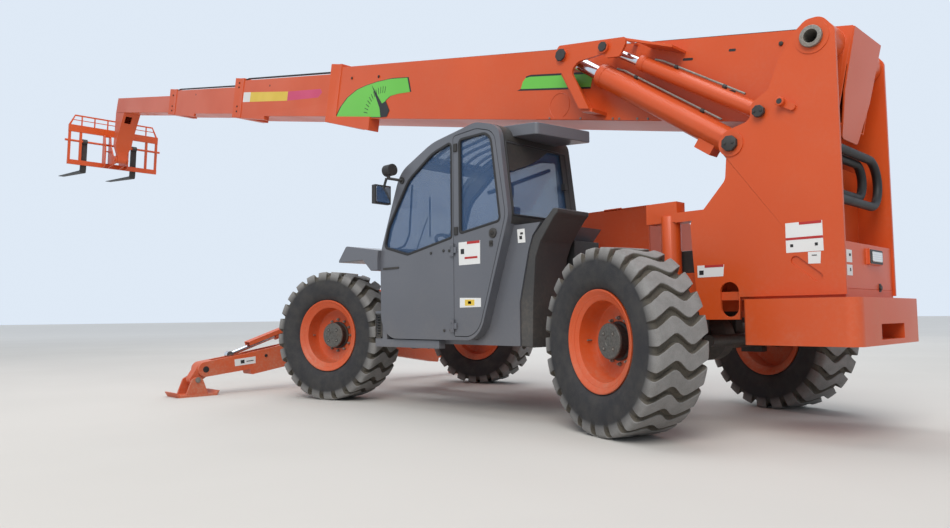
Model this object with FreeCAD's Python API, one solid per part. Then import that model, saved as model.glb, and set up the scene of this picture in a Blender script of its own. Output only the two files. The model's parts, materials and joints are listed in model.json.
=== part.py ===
import FreeCAD, Part
import math
import os
from FreeCAD import Vector as V

# Telescopic handler. Millimetres, +X forward, +Y to the driver's left, +Z up.
# Sizes are given from the ground point under the rear axle's middle (the datum).
# The finished part is moved so that its origin is the middle of its footprint.

# Running gear
WHEELBASE = 3678
KINGPIN_Y = 898
KINGPIN_TO_WHEEL = 253
AXLE_Z = 658
STEER_FRONT = 16.8
STEER_REAR = -17.5
BEAD_R = 318
FLANGE_R = 364
RIM_HALF = 187
RIM_WALL = 14
DISC_Y = -30
DISC_T = 26
HUB_R = 126
HUB_OUT = 98
SPINDLE_R = 55
# sidewall points (y, radius), then tread rows: y and radius in the groove, y and radius
# on the lug, and how far the lug runs ahead there, in pitches
LUGS = 24
SIDE_RINGS = ((166, 322), (166, 369), (205, 399), (222, 505), (216, 562))
TREAD_ROWS = ((196, 602, 212, 644, 0.26), (63, 622, 63, 657, -0.22))
LUG_SPAN = (0.135, 0.195, 0.805, 0.865)
AXLE_TUBE_R = 105
DIFF_R = 185
YOKE_HALF_Z = 150
YOKE_EAR_T = 40
YOKE_HALF_X = 95
YOKE_DEPTH = 60
KINGPIN_R = 30
KNUCKLE_R = 82

# Running clearances
PIN_GAP = 0.3
PAD_GAP = 0.5
SEAT_GAP = 0.3
SIDE_GAP = 6.0
PANEL_GAP = 6.0

# Main frame
RAIL_IN = 220
RAIL_OUT = 340
RAIL_LOW = 860
RAIL_TOP = 1160
RAIL_REAR = -590
CROSS_MEMBERS = (-150, 620, 1500, 2450, WHEELBASE + 722)
DECK_T = 60
DECK_REAR = -1215
DECK_FRONT = -215

# Tower plates that carry the boom
PLATE_OUT = 506
PLATE_T = 25
TOWER_REAR = -1230
BACK_WALL_X = -1000
PIVOT_X = -1084.5
PIVOT_Z = 2690.5
PIVOT_BOSS_R = 112
BOSS_OUT = 6
LUG_OUT = 10
BOOM_PIN_R = 65
BOOM_PIN_FLANGE_R = 74
BOOM_PIN_BORE_R = 45
BOOM_PIN_END = 540
OVAL = ((-437, 1000), (-437, 888), 70)
RECESS = ((-915, 1195), (-1055, 1080), 32, 12)

# Rear axle lock cylinder
LOCK_AT = (70, 420)
LOCK_LOW = 790
LOCK_TOP = 1600
LOCK_R = 76
LOCK_HEAD = (-20, 250, 1550, 1709)
LOCK_ARM = (-330, 0, 1545, 1620)

# Counterweight
WEIGHT_REAR = -1345
WEIGHT_FRONT = -600
WEIGHT_HALF = 640
WEIGHT_LOW = 627
WEIGHT_TOP = 939

# Service box between the tower plates: its top, and its lamp's y0, y1, z0, z1
REAR_BOX_TOP = 1310
REAR_LAMP = (-200, 70, 1170, 1280)

# Hose loops beside the boom's foot: x, middle height, radius, where the turn starts
HOSE_R = 21
HOSE_LOOPS = ((-1170, 1775, 172, -230), (-1105, 1790, 125, -150))

# Notch in the bracket's flange for the levelling cylinder's gland, along the boom
LEVEL_NOTCH = (1420, 1560)

# Boom, along its own axis s and height u from the pivot, raised by BOOM_ANGLE
BOOM_ANGLE = 11.85
# half width, top, bottom, wall, rear end, front end, collar start, collar half, collar top, collar bottom
SECTIONS = {
    "boom_base": (269, 131, -528, 12, -160, 6300, 6100, 279, 172, -585),
    "boom_2": (235, 60, -497, 10, 3100, 9150, 8920, 245, 95, -525),
    "boom_3": (205, -30, -455, 9, 5950, 11920, 11690, 215, -5, -475),
    "boom_4": (172, -115, -425, 9, 9000, 15060, 0, 0, 0, 0),
}
SECTION_ORDER = ("boom_base", "boom_2", "boom_3", "boom_4")
# keel under the left side: length, bottom at the front, bottom at the rear, y from and to,
# then the y from and to and the bottom of the channel in it for the next section's keel
KEELS = {
    "boom_base": (970, -585, -673, 130, 285, 142, 245, -562),
    "boom_2": (1005, -525, -550, 150, 235, 160, 213, -512),
    "boom_3": (1100, -475, -505, 168, 205, 0, 0, 0),
}
KEEL_WALL = 20
# flared ring at each collar's front: its length, how far it stands out, its lip's length
FLARE = (130, 30, 15)
PAD_LENGTH = 230
BOOM_TUBE_R = 130
TAIL_LOW = -620
TAIL_T = 14

# Lift and levelling cylinders beside the boom
CYLINDER_Y = 378
LIFT_FOOT = (-489, 2068)
LIFT_EYE = (2180, 0)
LIFT_R = 95
LIFT_ROD_R = 60
LIFT_BARREL = 1470
LIFT_ROD_IN = 550
LIFT_EYE_R = 75
LIFT_PIN_R = 45
PORT_BLOCK = (150, 300, -60, 60)
LEVEL_FOOT = (-711, 2257)
LEVEL_EYE = (1730, 43)
LEVEL_R = 57.5
LEVEL_ROD_R = 35
LEVEL_BARREL = 1230
LEVEL_ROD_IN = 500
LEVEL_EYE_R = 50
LEVEL_PIN_R = 30

# Boom head, carriage and forks
HEAD_HALF = 165
HEAD_FOOT_HALF = 100
HEAD_TAPER = -1150
HEAD_WALL = 16
HEAD_PIVOT = (15040, -1450)
HEAD_BOSS_R = 75
HEAD_PIN_R = 36
CARRIAGE_HALF = 945
CARRIAGE_AHEAD = 480
CARRIAGE_T = 60
CARRIAGE_LOW = -158
CARRIAGE_TOP = 707
LOW_RAIL_H = 101
TOP_RAIL_H = 150
CARRIAGE_TILT = 4.5
UPRIGHT_Y = 672
COUPLER_Y = (228, 250)
CHEEK_T = 22
GUARD_TOP = 936
GUARD_T = 24
GUARD_BARS = (140, 410, 670)
FORK_LENGTH = 1700
FORK_W = 120
FORK_T = 50
FORK_SHAFT_R = 24
FORK_SHAFT_Z = 362
FORK_Y = (605, -440)
FORK_HEEL = -315

# Cab on the left side
CAB_IN = 360
CAB_OUT = 1250
CAB_WALL = 45
CAB_FLOOR_Z = 640
CAB_PADS = (1020, 1650, 2350)
# side view of the cab: x, z and corner radius
CAB_OUTLINE = [
    (2712, 640, 230), (2725, 1450, 450), (2420, 2195, 300), (1960, 2395, 700), (1400, 2475, 250),
    (1130, 2400, 150), (1030, 1650, 250), (1380, 640, 230),
]
FRONT_WINDOW = [
    (1703, 1520, 25), (2309, 1412, 60), (2665, 1505, 45), (2600, 1700, 300), (2300, 2105, 300),
    (1960, 2300, 400), (1703, 2360, 35),
]
DOOR_FRONT = 1680
DOOR_OUTLINE = [
    (1395, 675, 200), (DOOR_FRONT - 3, 675, 15), (DOOR_FRONT - 3, 2400, 30), (1390, 2415, 200),
    (1185, 2355, 130), (1068, 1655, 220),
]
DOOR_WINDOW = [(1604, 1545, 30), (1604, 2362, 35), (1225, 2362, 110), (1120, 1610, 40)]
RIGHT_WINDOW = [
    (1190, 1640, 50), (2500, 1640, 50), (2380, 1980, 200), (2050, 2220, 150), (1440, 2270, 50),
    (1240, 2230, 60),
]
# windscreen, roof window and back window: x0, x1, y0, y1, z0, z1
SKIN_WINDOWS = (
    (2250, 2900, 430, 1190, 1500, 2600),
    (1480, 2150, 430, 1190, 2200, 2600),
    (900, 1250, 430, 1190, 1650, 2270),
)
GLASS_AT = 18
GLASS_T = 6
SEAT_Y = 790
HINGE_OFF = 12
HINGE_Z = (760, 1410)
HINGE_R = 10
HINGE_PIN_R = 5
HINGE_HALF = 25
HINGE_END = 55
HINGE_WEB = 40
ROOF_BARS = (560, 690, 820, 950, 1080)
ROOF_BAR_W = 24
# roof slab behind the arch: plan corners, then low and high edges at its rear and front
ROOF_PLAN = [(865, 1085, 40), (735, 535, 20), (1400, 535), (1400, 1085)]
ROOF_SIDE = [(700, 2288), (1400, 2350), (1400, 2452), (700, 2385)]
# mirror: foot x, z; elbow of its arm; head x0, x1, y0, y1, z0, z1; and the round lamp above
MIRROR_FOOT = (2385, 2115)
MIRROR_ELBOW = (2470, 1370, 2135)
MIRROR_BAR_R = 12
MIRROR_HEAD = (2495, 2550, 1300, 1480, 1895, 2070)
LAMP_ENDS = ((2425, 1330, 2215), (2525, 1330, 2215))
LAMP_R = 55
BASE_REAR = 1005
BASE_SIDE = 1160
FENDER_IN = 750

# Engine on the right side
ENGINE_IN = -450
ENGINE_OUT = -1240
HOOD_TOP = 1870
HOOD_LOW = 1400
HOOD_SLOPE = 160
HOOD_REAR = 810
HOOD_FRONT = 2780
POD_REAR = 900
POD_LOW = 640
SHEET = 12
HOOD_HINGE_R = 9

# Gearbox under the frame, and the reach of the axles' noses
GEARBOX = (1700, 2150, -180, 180, 560, 915)
NOSE_REACH = 330
SHAFT_R = 42

# Outriggers ahead of the front axle
LEG_AHEAD = 1372
LEG_X = WHEELBASE + LEG_AHEAD
LEG_HALF_X = 100
LEG_PIVOT = (360, 490)
LEG_ROOT_R = 115
LEG_TIP = (1970, 285)
LEG_TIP_R = 82
ANKLE = (2075, 178)
ANKLE_R = 52
ANKLE_PIN_R = 26
LEG_PIN_R = 40
LEG_CYL_FOOT = (300, 903)
LEG_CYL_EYE = (1660, 430)
LEG_CYL_BARREL = 840
LEG_GUARD_END = 1190
LEG_GUARD_HALF = 62
LEG_GUARD_T = 8
LEG_SLOT_HALF = 66
LEG_CYL_R = 48
LEG_CYL_ROD_R = 26
LEG_CYL_ROD_IN = 640
LEG_CYL_EYE_R = 40
LEG_PLATE_T = 40
LEG_BEAM_LOW = 400
LEG_BEAM_TOP = 985
PAD_HALF_Y = 210
PAD_HALF_X = 160
PAD_T = 22
EAR_T = 26


def box(x0, x1, y0, y1, z0, z1):
    """Block between two corners."""
    return Part.makeBox(x1 - x0, y1 - y0, z1 - z0, V(x0, y0, z0))


def rod(start, end, radius):
    """Round bar from one point to another."""
    a, b = V(*start), V(*end)
    return Part.makeCylinder(radius, (b - a).Length, a, b - a)


def outline(points):
    """Closed wire in a plane, with rounded corners where a point has a third value, its radius."""
    edges = []
    starts = []
    ends = []
    count = len(points)
    for i, point in enumerate(points):
        here = V(point[0], point[1], 0)
        radius = point[2] if len(point) > 2 else 0
        if not radius:
            starts.append(here)
            ends.append(here)
            edges.append(None)
            continue
        before = V(points[i - 1][0], points[i - 1][1], 0) - here
        after = V(points[(i + 1) % count][0], points[(i + 1) % count][1], 0) - here
        before.normalize()
        after.normalize()
        half = before.getAngle(after) / 2
        setback = radius / math.tan(half)
        middle = before + after
        middle.normalize()
        centre = here + middle * (radius / math.sin(half))
        start = here + before * setback
        end = here + after * setback
        starts.append(start)
        ends.append(end)
        edges.append(Part.Arc(start, centre - middle * radius, end).toShape())
    wire = []
    for i in range(count):
        if edges[i] is not None:
            wire.append(edges[i])
        following = (i + 1) % count
        if (starts[following] - ends[i]).Length > 1e-6:
            wire.append(Part.LineSegment(ends[i], starts[following]).toShape())
    return Part.Wire(wire)


def prism(points, low, high, plane="xz"):
    """Outline thickened across its plane: xz along Y, yz along X, xy along Z."""
    face = Part.Face(outline(points))
    solid = face.extrude(V(0, 0, high - low))
    if plane == "xy":
        return solid.translated(V(0, 0, low))
    if plane == "xz":
        solid = solid.rotated(V(0, 0, 0), V(1, 0, 0), 90)
        return solid.translated(V(0, high, 0))
    solid = solid.rotated(V(0, 0, 0), V(1, 0, 0), 90)
    solid = solid.rotated(V(0, 0, 0), V(0, 0, 1), 90)
    return solid.translated(V(low, 0, 0))


def link(first, second, low, high, plane="xz"):
    """Plate with two round ends, (a, b, radius) each, joined by tangent sides."""
    ax, ay, ar = first
    bx, by, br = second
    heading = math.atan2(by - ay, bx - ax)
    spread = math.acos((ar - br) / math.hypot(bx - ax, by - ay))

    def edge(cx, cy, r, angle):
        return V(cx + r * math.cos(angle), cy + r * math.sin(angle), 0)

    a1 = edge(ax, ay, ar, heading + spread)
    a2 = edge(ax, ay, ar, heading - spread)
    b1 = edge(bx, by, br, heading + spread)
    b2 = edge(bx, by, br, heading - spread)
    far_a = edge(ax, ay, ar, heading + math.pi)
    far_b = edge(bx, by, br, heading)
    wire = Part.Wire([
        Part.LineSegment(b2, a2).toShape(),
        Part.Arc(a2, far_a, a1).toShape(),
        Part.LineSegment(a1, b1).toShape(),
        Part.Arc(b1, far_b, b2).toShape(),
    ])
    solid = Part.Face(wire).extrude(V(0, 0, high - low))
    if plane == "xz":
        solid = solid.rotated(V(0, 0, 0), V(1, 0, 0), 90)
        return solid.translated(V(0, high, 0))
    solid = solid.rotated(V(0, 0, 0), V(1, 0, 0), 90)
    solid = solid.rotated(V(0, 0, 0), V(0, 0, 1), 90)
    return solid.translated(V(low, 0, 0))


def solid_of(facets):
    """Closed body from flat facets, each a list of its corners."""
    faces = []
    for corners in facets:
        faces.append(Part.Face(Part.makePolygon(corners + [corners[0]])))
    shell = Part.makeShell(faces)
    shell.sewShape()
    solid = Part.makeSolid(Part.Shell(shell.Faces))
    if solid.Volume < 0:
        solid.reverse()
    return solid


def lathe(points):
    """Ring turned about Y from (y, radius) points."""
    wire = Part.makePolygon([V(r, y, 0) for y, r in points] + [V(points[0][1], points[0][0], 0)])
    return Part.Face(wire).revolve(V(0, 0, 0), V(0, 1, 0), 360)


def ring_of(centre, radius, sides):
    """Corners of a regular polygon round a point."""
    corners = []
    for i in range(sides):
        angle = 2 * math.pi * (i + 0.5) / sides
        corners.append((centre[0] + radius * math.cos(angle), centre[1] + radius * math.sin(angle)))
    return corners


def mirrored(shape):
    """The same piece on the other side of the machine."""
    return shape.mirror(V(0, 0, 0), V(0, 1, 0))


def fuse(shapes):
    """One solid from overlapping or touching shapes."""
    whole = shapes[0]
    for shape in shapes[1:]:
        whole = whole.fuse(shape)
    return whole.removeSplitter()


def on_boom(shape):
    """Boom coordinates (s, y, u) to the machine: raised about the pivot."""
    raised = shape.rotated(V(0, 0, 0), V(0, -1, 0), BOOM_ANGLE)
    return raised.translated(V(PIVOT_X, 0, PIVOT_Z))


def boom_point(s, u):
    """Machine X and Z of a point of the boom."""
    angle = math.radians(BOOM_ANGLE)
    x = PIVOT_X + s * math.cos(angle) - u * math.sin(angle)
    z = PIVOT_Z + s * math.sin(angle) + u * math.cos(angle)
    return x, z


def at_wheel(shape, axle_x, side, steer):
    """From kingpin coordinates, y outwards, to the machine: side is 1 left, -1 right."""
    if side < 0:
        shape = mirrored(shape)
    turned = shape.rotated(V(0, 0, 0), V(0, 0, 1), steer)
    return turned.translated(V(axle_x, side * KINGPIN_Y, AXLE_Z))


# Wheels and axles

def tyre_point(y, radius, pitch):
    """Point of the tyre at a place counted in lugs round the wheel."""
    angle = 2 * math.pi * pitch / LUGS
    return V(radius * math.cos(angle), KINGPIN_TO_WHEEL + y, radius * math.sin(angle))


def tread_row(side, row, lug):
    """Four points of one lug in a tread row: foot, top, top, foot."""
    groove_y, groove_r, lug_y, lug_r, ahead = row
    points = []
    for place, high in zip(LUG_SPAN, (False, True, True, False)):
        y, radius = (lug_y, lug_r) if high else (groove_y, groove_r)
        points.append(tyre_point(side * y, radius, lug + place + side * ahead))
    return points


def tyre():
    """Tyre as one faceted body with its wavy lugs, a lug for each of its flat sides."""
    facets = []
    for lug in range(LUGS):
        rows = []
        following = []
        for side, row in ((1, TREAD_ROWS[0]), (1, TREAD_ROWS[1]), (-1, TREAD_ROWS[1]), (-1, TREAD_ROWS[0])):
            rows.append(tread_row(side, row, lug))
            following.append(tread_row(side, row, lug + 1)[0])
        for upper, lower, upper_end, lower_end in zip(rows, rows[1:], following, following[1:]):
            upper = upper + [upper_end]
            lower = lower + [lower_end]
            for i in range(4):
                facets.append([upper[i], upper[i + 1], lower[i]])
                facets.append([upper[i + 1], lower[i + 1], lower[i]])
        for side, edge, end in ((1, rows[0], following[0]), (-1, rows[-1], following[-1])):
            y, radius = SIDE_RINGS[-1]
            here = tyre_point(side * y, radius, lug + 0.5)
            ahead = tyre_point(side * y, radius, lug + 1.5)
            for i in range(3):
                facets.append([edge[i], edge[i + 1], here])
            facets.append([edge[3], ahead, here])
            facets.append([edge[3], end, ahead])
            for (y0, r0), (y1, r1) in zip(SIDE_RINGS, SIDE_RINGS[1:]):
                facets.append([tyre_point(side * y0, r0, lug + 0.5), tyre_point(side * y0, r0, lug + 1.5),
                               tyre_point(side * y1, r1, lug + 1.5), tyre_point(side * y1, r1, lug + 0.5)])
        y, radius = SIDE_RINGS[0]
        facets.append([tyre_point(y, radius, lug + 0.5), tyre_point(y, radius, lug + 1.5),
                       tyre_point(-y, radius, lug + 1.5), tyre_point(-y, radius, lug + 0.5)])
    return solid_of(facets)


def rim():
    """Dished wheel with its planetary hub, bored for the spindle."""
    seat = BEAD_R - PAD_GAP
    wall = seat - RIM_WALL
    bore = SPINDLE_R + PIN_GAP
    disc_out = DISC_Y + DISC_T
    outside = [
        (-RIM_HALF, FLANGE_R), (-RIM_HALF + 18, FLANGE_R), (-170, seat),
        (170, seat), (RIM_HALF - 18, FLANGE_R), (RIM_HALF, FLANGE_R),
    ]
    dish = [(RIM_HALF, FLANGE_R - 16), (150, wall - 8), (60, wall - 22), (disc_out, wall - 40)]
    hub = [
        (disc_out, HUB_R + 12), (HUB_OUT - 40, HUB_R + 12), (HUB_OUT - 34, HUB_R), (HUB_OUT, HUB_R - 6),
        (HUB_OUT, 0), (HUB_OUT - 20, 0), (HUB_OUT - 20, bore), (DISC_Y - 30, bore),
        (DISC_Y - 30, HUB_R + 30), (DISC_Y, HUB_R + 30),
    ]
    back = [(DISC_Y, wall - 40), (-150, wall - 8), (-RIM_HALF, FLANGE_R - 16)]
    return lathe(outside + dish + hub + back).translated(V(0, KINGPIN_TO_WHEEL, 0))


def knuckle():
    """Steering knuckle with kingpins above and below and the wheel's spindle."""
    half = YOKE_HALF_Z - YOKE_EAR_T - SIDE_GAP
    hub = rod((0, 0, -half), (0, 0, half), KNUCKLE_R)
    pins = rod((0, 0, -YOKE_HALF_Z), (0, 0, YOKE_HALF_Z), KINGPIN_R)
    spindle = rod((0, 0, 0), (0, KINGPIN_TO_WHEEL + HUB_OUT - 24, 0), SPINDLE_R)
    flange = rod((0, 60, 0), (0, KINGPIN_TO_WHEEL + DISC_Y - 36, 0), 92)
    arm = box(-170, -40, -30, 40, -95, -60)
    return fuse([hub, pins, spindle, flange, arm])


def axle(axle_x, steering_side, lug=False):
    """Axle housing with its differential, yokes for the knuckles and frame pads."""
    reach = KINGPIN_Y - KNUCKLE_R - 12
    beam = rod((0, -reach, 0), (0, reach, 0), AXLE_TUBE_R)
    diff = lathe([(-160, 0), (-160, 120), (-70, DIFF_R), (70, DIFF_R), (160, 120), (160, 0)])
    nose = rod((0, 0, 0), (-steering_side * NOSE_REACH, 0, 0), 85)
    pieces = [beam, diff, nose]
    for side in (-1, 1):
        y0, y1 = sorted((side * (reach - YOKE_DEPTH), side * reach))
        pieces.append(box(-YOKE_HALF_X, YOKE_HALF_X, y0, y1, -YOKE_HALF_Z, YOKE_HALF_Z))
        for up in (-1, 1):
            z0, z1 = sorted((up * YOKE_HALF_Z, up * (YOKE_HALF_Z - YOKE_EAR_T)))
            pieces.append(yoke_ear(side, reach, z0, z1))
        y0, y1 = sorted((side * RAIL_IN, side * RAIL_OUT))
        pieces.append(box(-120, 120, y0, y1, 0, RAIL_LOW - AXLE_Z))
    if lug:
        x, y = LOCK_AT
        pieces.append(box(x - 60, x + 60, y - 50, y + 50, 0, LOCK_LOW - AXLE_Z))
    ram = rod((steering_side * 170, -330, -20), (steering_side * 170, 330, -20), 45)
    saddle = box(*sorted((steering_side * 60, steering_side * 180)), -70, 70, -60, 20)
    housing = fuse(pieces + [ram, saddle])
    end = YOKE_HALF_Z + 10
    for side in (-1, 1):
        y = side * KINGPIN_Y
        housing = housing.cut(rod((0, y, -end), (0, y, end), KINGPIN_R + PIN_GAP))
    return housing.translated(V(axle_x, 0, AXLE_Z))


def yoke_ear(side, reach, low, high):
    """Yoke ear with a round end at the kingpin, seen from above."""
    radius = 2 * KINGPIN_R + 2
    y_in = side * (reach - YOKE_DEPTH)
    round_end = rod((0, side * KINGPIN_Y, low), (0, side * KINGPIN_Y, high), radius)
    neck = box(-radius, radius, *sorted((y_in, side * KINGPIN_Y)), low, high)
    return fuse([round_end, neck])


# Frame and tower

def frame():
    """Two rails, their cross members, the rear deck and the outriggers' cross beam."""
    pieces = []
    rail_end = LEG_X - LEG_HALF_X - SIDE_GAP - 2
    for side in (-1, 1):
        y0, y1 = sorted((side * RAIL_IN, side * RAIL_OUT))
        pieces.append(box(RAIL_REAR, rail_end, y0, y1, RAIL_LOW, RAIL_TOP))
    inside = PLATE_OUT - PLATE_T
    pieces.append(box(DECK_REAR, DECK_FRONT, -inside, inside, WEIGHT_TOP, WEIGHT_TOP + DECK_T))
    for x in CROSS_MEMBERS:
        pieces.append(box(x, x + 90, -RAIL_IN, RAIL_IN, RAIL_LOW + 60, RAIL_TOP - 40))
    half = LEG_HALF_X + SIDE_GAP
    y_end = LEG_PIVOT[0] + 150
    beam = [
        (-y_end, LEG_BEAM_LOW, 60), (y_end, LEG_BEAM_LOW, 60),
        (y_end, LEG_BEAM_TOP, 150), (-y_end, LEG_BEAM_TOP, 150),
    ]
    for x in (LEG_X - half - LEG_PLATE_T, LEG_X + half):
        pieces.append(prism(beam, x, x + LEG_PLATE_T, "yz"))
    core = LEG_PIVOT[0] - LEG_ROOT_R - 30
    pieces.append(box(LEG_X - half, LEG_X + half, -core, core, 430, 900))
    whole = fuse(pieces)
    bore = LEG_PIN_R + PIN_GAP
    for side in (-1, 1):
        for y, z in (LEG_PIVOT, LEG_CYL_FOOT):
            whole = whole.cut(rod((LEG_X - 300, side * y, z), (LEG_X + 300, side * y, z), bore))
    for x in CAB_PADS:
        whole = whole.fuse(box(x, x + 120, RAIL_OUT, CAB_IN, RAIL_LOW + 40, RAIL_TOP - 60))
    return whole.removeSplitter()


def leg_pins():
    """Pins of the outriggers and of their cylinders' feet, held in the frame."""
    reach = LEG_HALF_X + SIDE_GAP + LEG_PLATE_T + 12
    pins = []
    for side in (-1, 1):
        for y, z in (LEG_PIVOT, LEG_CYL_FOOT):
            pins.append(rod((LEG_X - reach, side * y, z), (LEG_X + reach, side * y, z), LEG_PIN_R))
    return Part.makeCompound(pins)


def tower_plate():
    """Left tower plate: boom boss, cylinder lug, and an oval opening over the axle."""
    low = PLATE_OUT - PLATE_T
    shape = prism([
        (TOWER_REAR, 960), (-515, 960), (-509, 800), (-201, 800), (-181, 946), (-159, 1261),
        (-144, 1534, 60), (-253, 1613, 120), (-433, 1812, 80), (-447, 1972), (-489 + 95, 2040, 60),
        (-489 + 60, 2165, 70), (-640, 2215, 60), (-640, 2330, 60), (-774, 2400, 80), (-852, 2595),
        (-975, 2765, 80), (-1045, 2822, 80), (-1150, 2822, 90), (TOWER_REAR, 2715, 60),
    ], low, PLATE_OUT)
    boss = rod((PIVOT_X, low, PIVOT_Z), (PIVOT_X, PLATE_OUT + BOSS_OUT, PIVOT_Z), PIVOT_BOSS_R)
    lug = rod((LIFT_FOOT[0], low, LIFT_FOOT[1]), (LIFT_FOOT[0], PLATE_OUT + LUG_OUT, LIFT_FOOT[1]), 92)
    peg = link((-886, 2278, 26), (-940, 2242, 24), PLATE_OUT - 5, PLATE_OUT + 24)
    shape = fuse([shape, boss, lug, peg])
    bores = [(PIVOT_X, PIVOT_Z, BOOM_PIN_R), (LIFT_FOOT[0], LIFT_FOOT[1], LIFT_PIN_R),
             (LEVEL_FOOT[0], LEVEL_FOOT[1], LEVEL_PIN_R)]
    for x, z, r in bores:
        shape = shape.cut(rod((x, low - 10, z), (x, PLATE_OUT + 20, z), r + PIN_GAP))
    first, second, r = OVAL
    oval = link((*first, r), (*second, r - 1), low - 10, PLATE_OUT + 10)
    first, second, r, depth = RECESS
    recess = link((*first, r), (*second, r), PLATE_OUT - depth, PLATE_OUT + 10)
    return shape.cut(oval).cut(recess)


def tower():
    """Both tower plates welded to the cross walls between them."""
    inside = PLATE_OUT - PLATE_T
    front_wall = [(-330, 1000), (-300, 1000), (-350, 1560), (-560, 1800), (-590, 1785), (-385, 1550)]
    walls = [
        box(BACK_WALL_X, BACK_WALL_X + PLATE_T, -inside, inside, WEIGHT_TOP + DECK_T, 1900),
        prism(front_wall, -inside, inside),
    ]
    left = tower_plate()
    whole = fuse([left, mirrored(left)] + walls)
    for low, high in ((-RAIL_OUT, -RAIL_IN), (RAIL_IN, RAIL_OUT)):
        whole = whole.cut(box(RAIL_REAR, 0, low, high, RAIL_LOW, RAIL_TOP))
    return whole


def counterweight():
    """Cast rear weight with rounded corners and a tow pocket."""
    body = prism([
        (WEIGHT_REAR, -WEIGHT_HALF, 90), (WEIGHT_FRONT, -WEIGHT_HALF, 20), (WEIGHT_FRONT, WEIGHT_HALF, 20),
        (WEIGHT_REAR, WEIGHT_HALF, 90),
    ], WEIGHT_LOW, WEIGHT_TOP, "xy")
    pocket = box(WEIGHT_REAR - 10, WEIGHT_REAR + 160, -240, 240, 663, 766)
    slot = rod((WEIGHT_REAR + 80, 0, 600), (WEIGHT_REAR + 80, 0, 800), 20)
    return body.cut(pocket).cut(slot)


def rear_box():
    """Service box between the tower plates, above the counterweight."""
    inside = PLATE_OUT - PLATE_T - 1
    body = box(TOWER_REAR + 15, BACK_WALL_X - 1, -inside, inside, WEIGHT_TOP + DECK_T, REAR_BOX_TOP)
    lamp = box(TOWER_REAR - 10, TOWER_REAR + 15, *REAR_LAMP)
    return fuse([body, lamp])


def boom_pin():
    """Hollow boom pin with a flange at each end."""
    x, z = PIVOT_X, PIVOT_Z
    seat = PLATE_OUT + BOSS_OUT
    end = BOOM_PIN_END
    pieces = [rod((x, -end, z), (x, end, z), BOOM_PIN_R)]
    for side in (-1, 1):
        pieces.append(rod((x, side * seat, z), (x, side * end, z), BOOM_PIN_FLANGE_R))
    return fuse(pieces).cut(rod((x, -end - 5, z), (x, end + 5, z), BOOM_PIN_BORE_R))


def foot_pins():
    """Lower pins of the lift and levelling cylinders with their keeper caps."""
    pins = []
    for side in (-1, 1):
        for foot, r, inner in ((LIFT_FOOT, LIFT_PIN_R, 283), (LEVEL_FOOT, LEVEL_PIN_R, 318)):
            end = PLATE_OUT + LUG_OUT
            pin = rod((foot[0], side * inner, foot[1]), (foot[0], side * end, foot[1]), r)
            y0, y1 = sorted((side * end, side * (end + 25)))
            cap = prism(ring_of(foot, r + 14, 8), y0, y1)
            pins.append(fuse([pin, cap]))
    return Part.makeCompound(pins)


# Boom

def boom_section(name):
    """Box section with its front collar, keel and wear pads, in boom coordinates."""
    half, top, bottom, wall, rear, front, c_start, c_half, c_top, c_bottom = SECTIONS[name]
    body = box(rear, front, -half, half, bottom, top)
    if c_half:
        body = body.fuse(box(c_start, front, -c_half, c_half, c_bottom, c_top))
        length, out, lip = FLARE
        for side in (-1, 1):
            near, far = side * (c_half - 2), side * (c_half + out)
            plan = [(front - length, near), (front - lip, far), (front, far), (front, near)]
            body = body.fuse(prism(plan, c_bottom, c_top, "xy"))
    inside = box(rear - 10, front + 10, -half + wall, half - wall, bottom + wall, top - wall)
    if name in KEELS:
        length, low_front, low_rear, y0, y1, in_y0, in_y1, in_low = KEELS[name]
        start = front - length
        keel = [(start, bottom + 20), (start, low_rear), (front, low_front), (front, bottom + 20)]
        body = body.fuse(prism(keel, y0, y1))
        if in_low:
            channel = box(start + KEEL_WALL, front + 10, in_y0, in_y1, in_low, bottom + 2 * wall)
            inside = inside.fuse(channel)
    body = body.cut(inside)
    body = body.fuse(wear_pads(name))
    return body


def wear_pads(name):
    """Front pads towards the next section and rear pads towards the one outside."""
    half, top, bottom, wall, rear, front = SECTIONS[name][:6]
    place = SECTION_ORDER.index(name)
    across, across_low = 0.6, 0.7
    pads = []
    if place + 1 < len(SECTION_ORDER):
        n_half, n_top, n_bottom = SECTIONS[SECTION_ORDER[place + 1]][:3]
        s0, s1 = front - PAD_LENGTH - 20, front - 20
        y = n_half * across
        pads.append(box(s0, s1, -y, y, n_top + PAD_GAP, top - wall / 2))
        for side in (-1, 1):
            y0, y1 = sorted((side * (n_half + PAD_GAP), side * (half - wall / 2)))
            pads.append(box(s0, s1, y0, y1, n_bottom + 130, n_top - 100))
        s1 = front - KEELS[name][0] - 30
        y = n_half * across_low
        pads.append(box(s1 - PAD_LENGTH, s1, -y, y, bottom + wall / 2, n_bottom - PAD_GAP))
    if place:
        o_half, o_top, o_bottom, o_wall = SECTIONS[SECTION_ORDER[place - 1]][:4]
        s0, s1 = rear + 20, rear + 20 + PAD_LENGTH
        y = half * across
        pads.append(box(s0, s1, -y, y, top - wall / 2, o_top - o_wall - PAD_GAP))
        y = half * across_low
        pads.append(box(s0, s1, -y, y, o_bottom + o_wall + PAD_GAP, bottom + wall / 2))
        for side in (-1, 1):
            y0, y1 = sorted((side * (half - wall / 2), side * (o_half - o_wall - PAD_GAP)))
            pads.append(box(s0, s1, y0, y1, bottom + 130, top - 100))
    return pads


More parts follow.
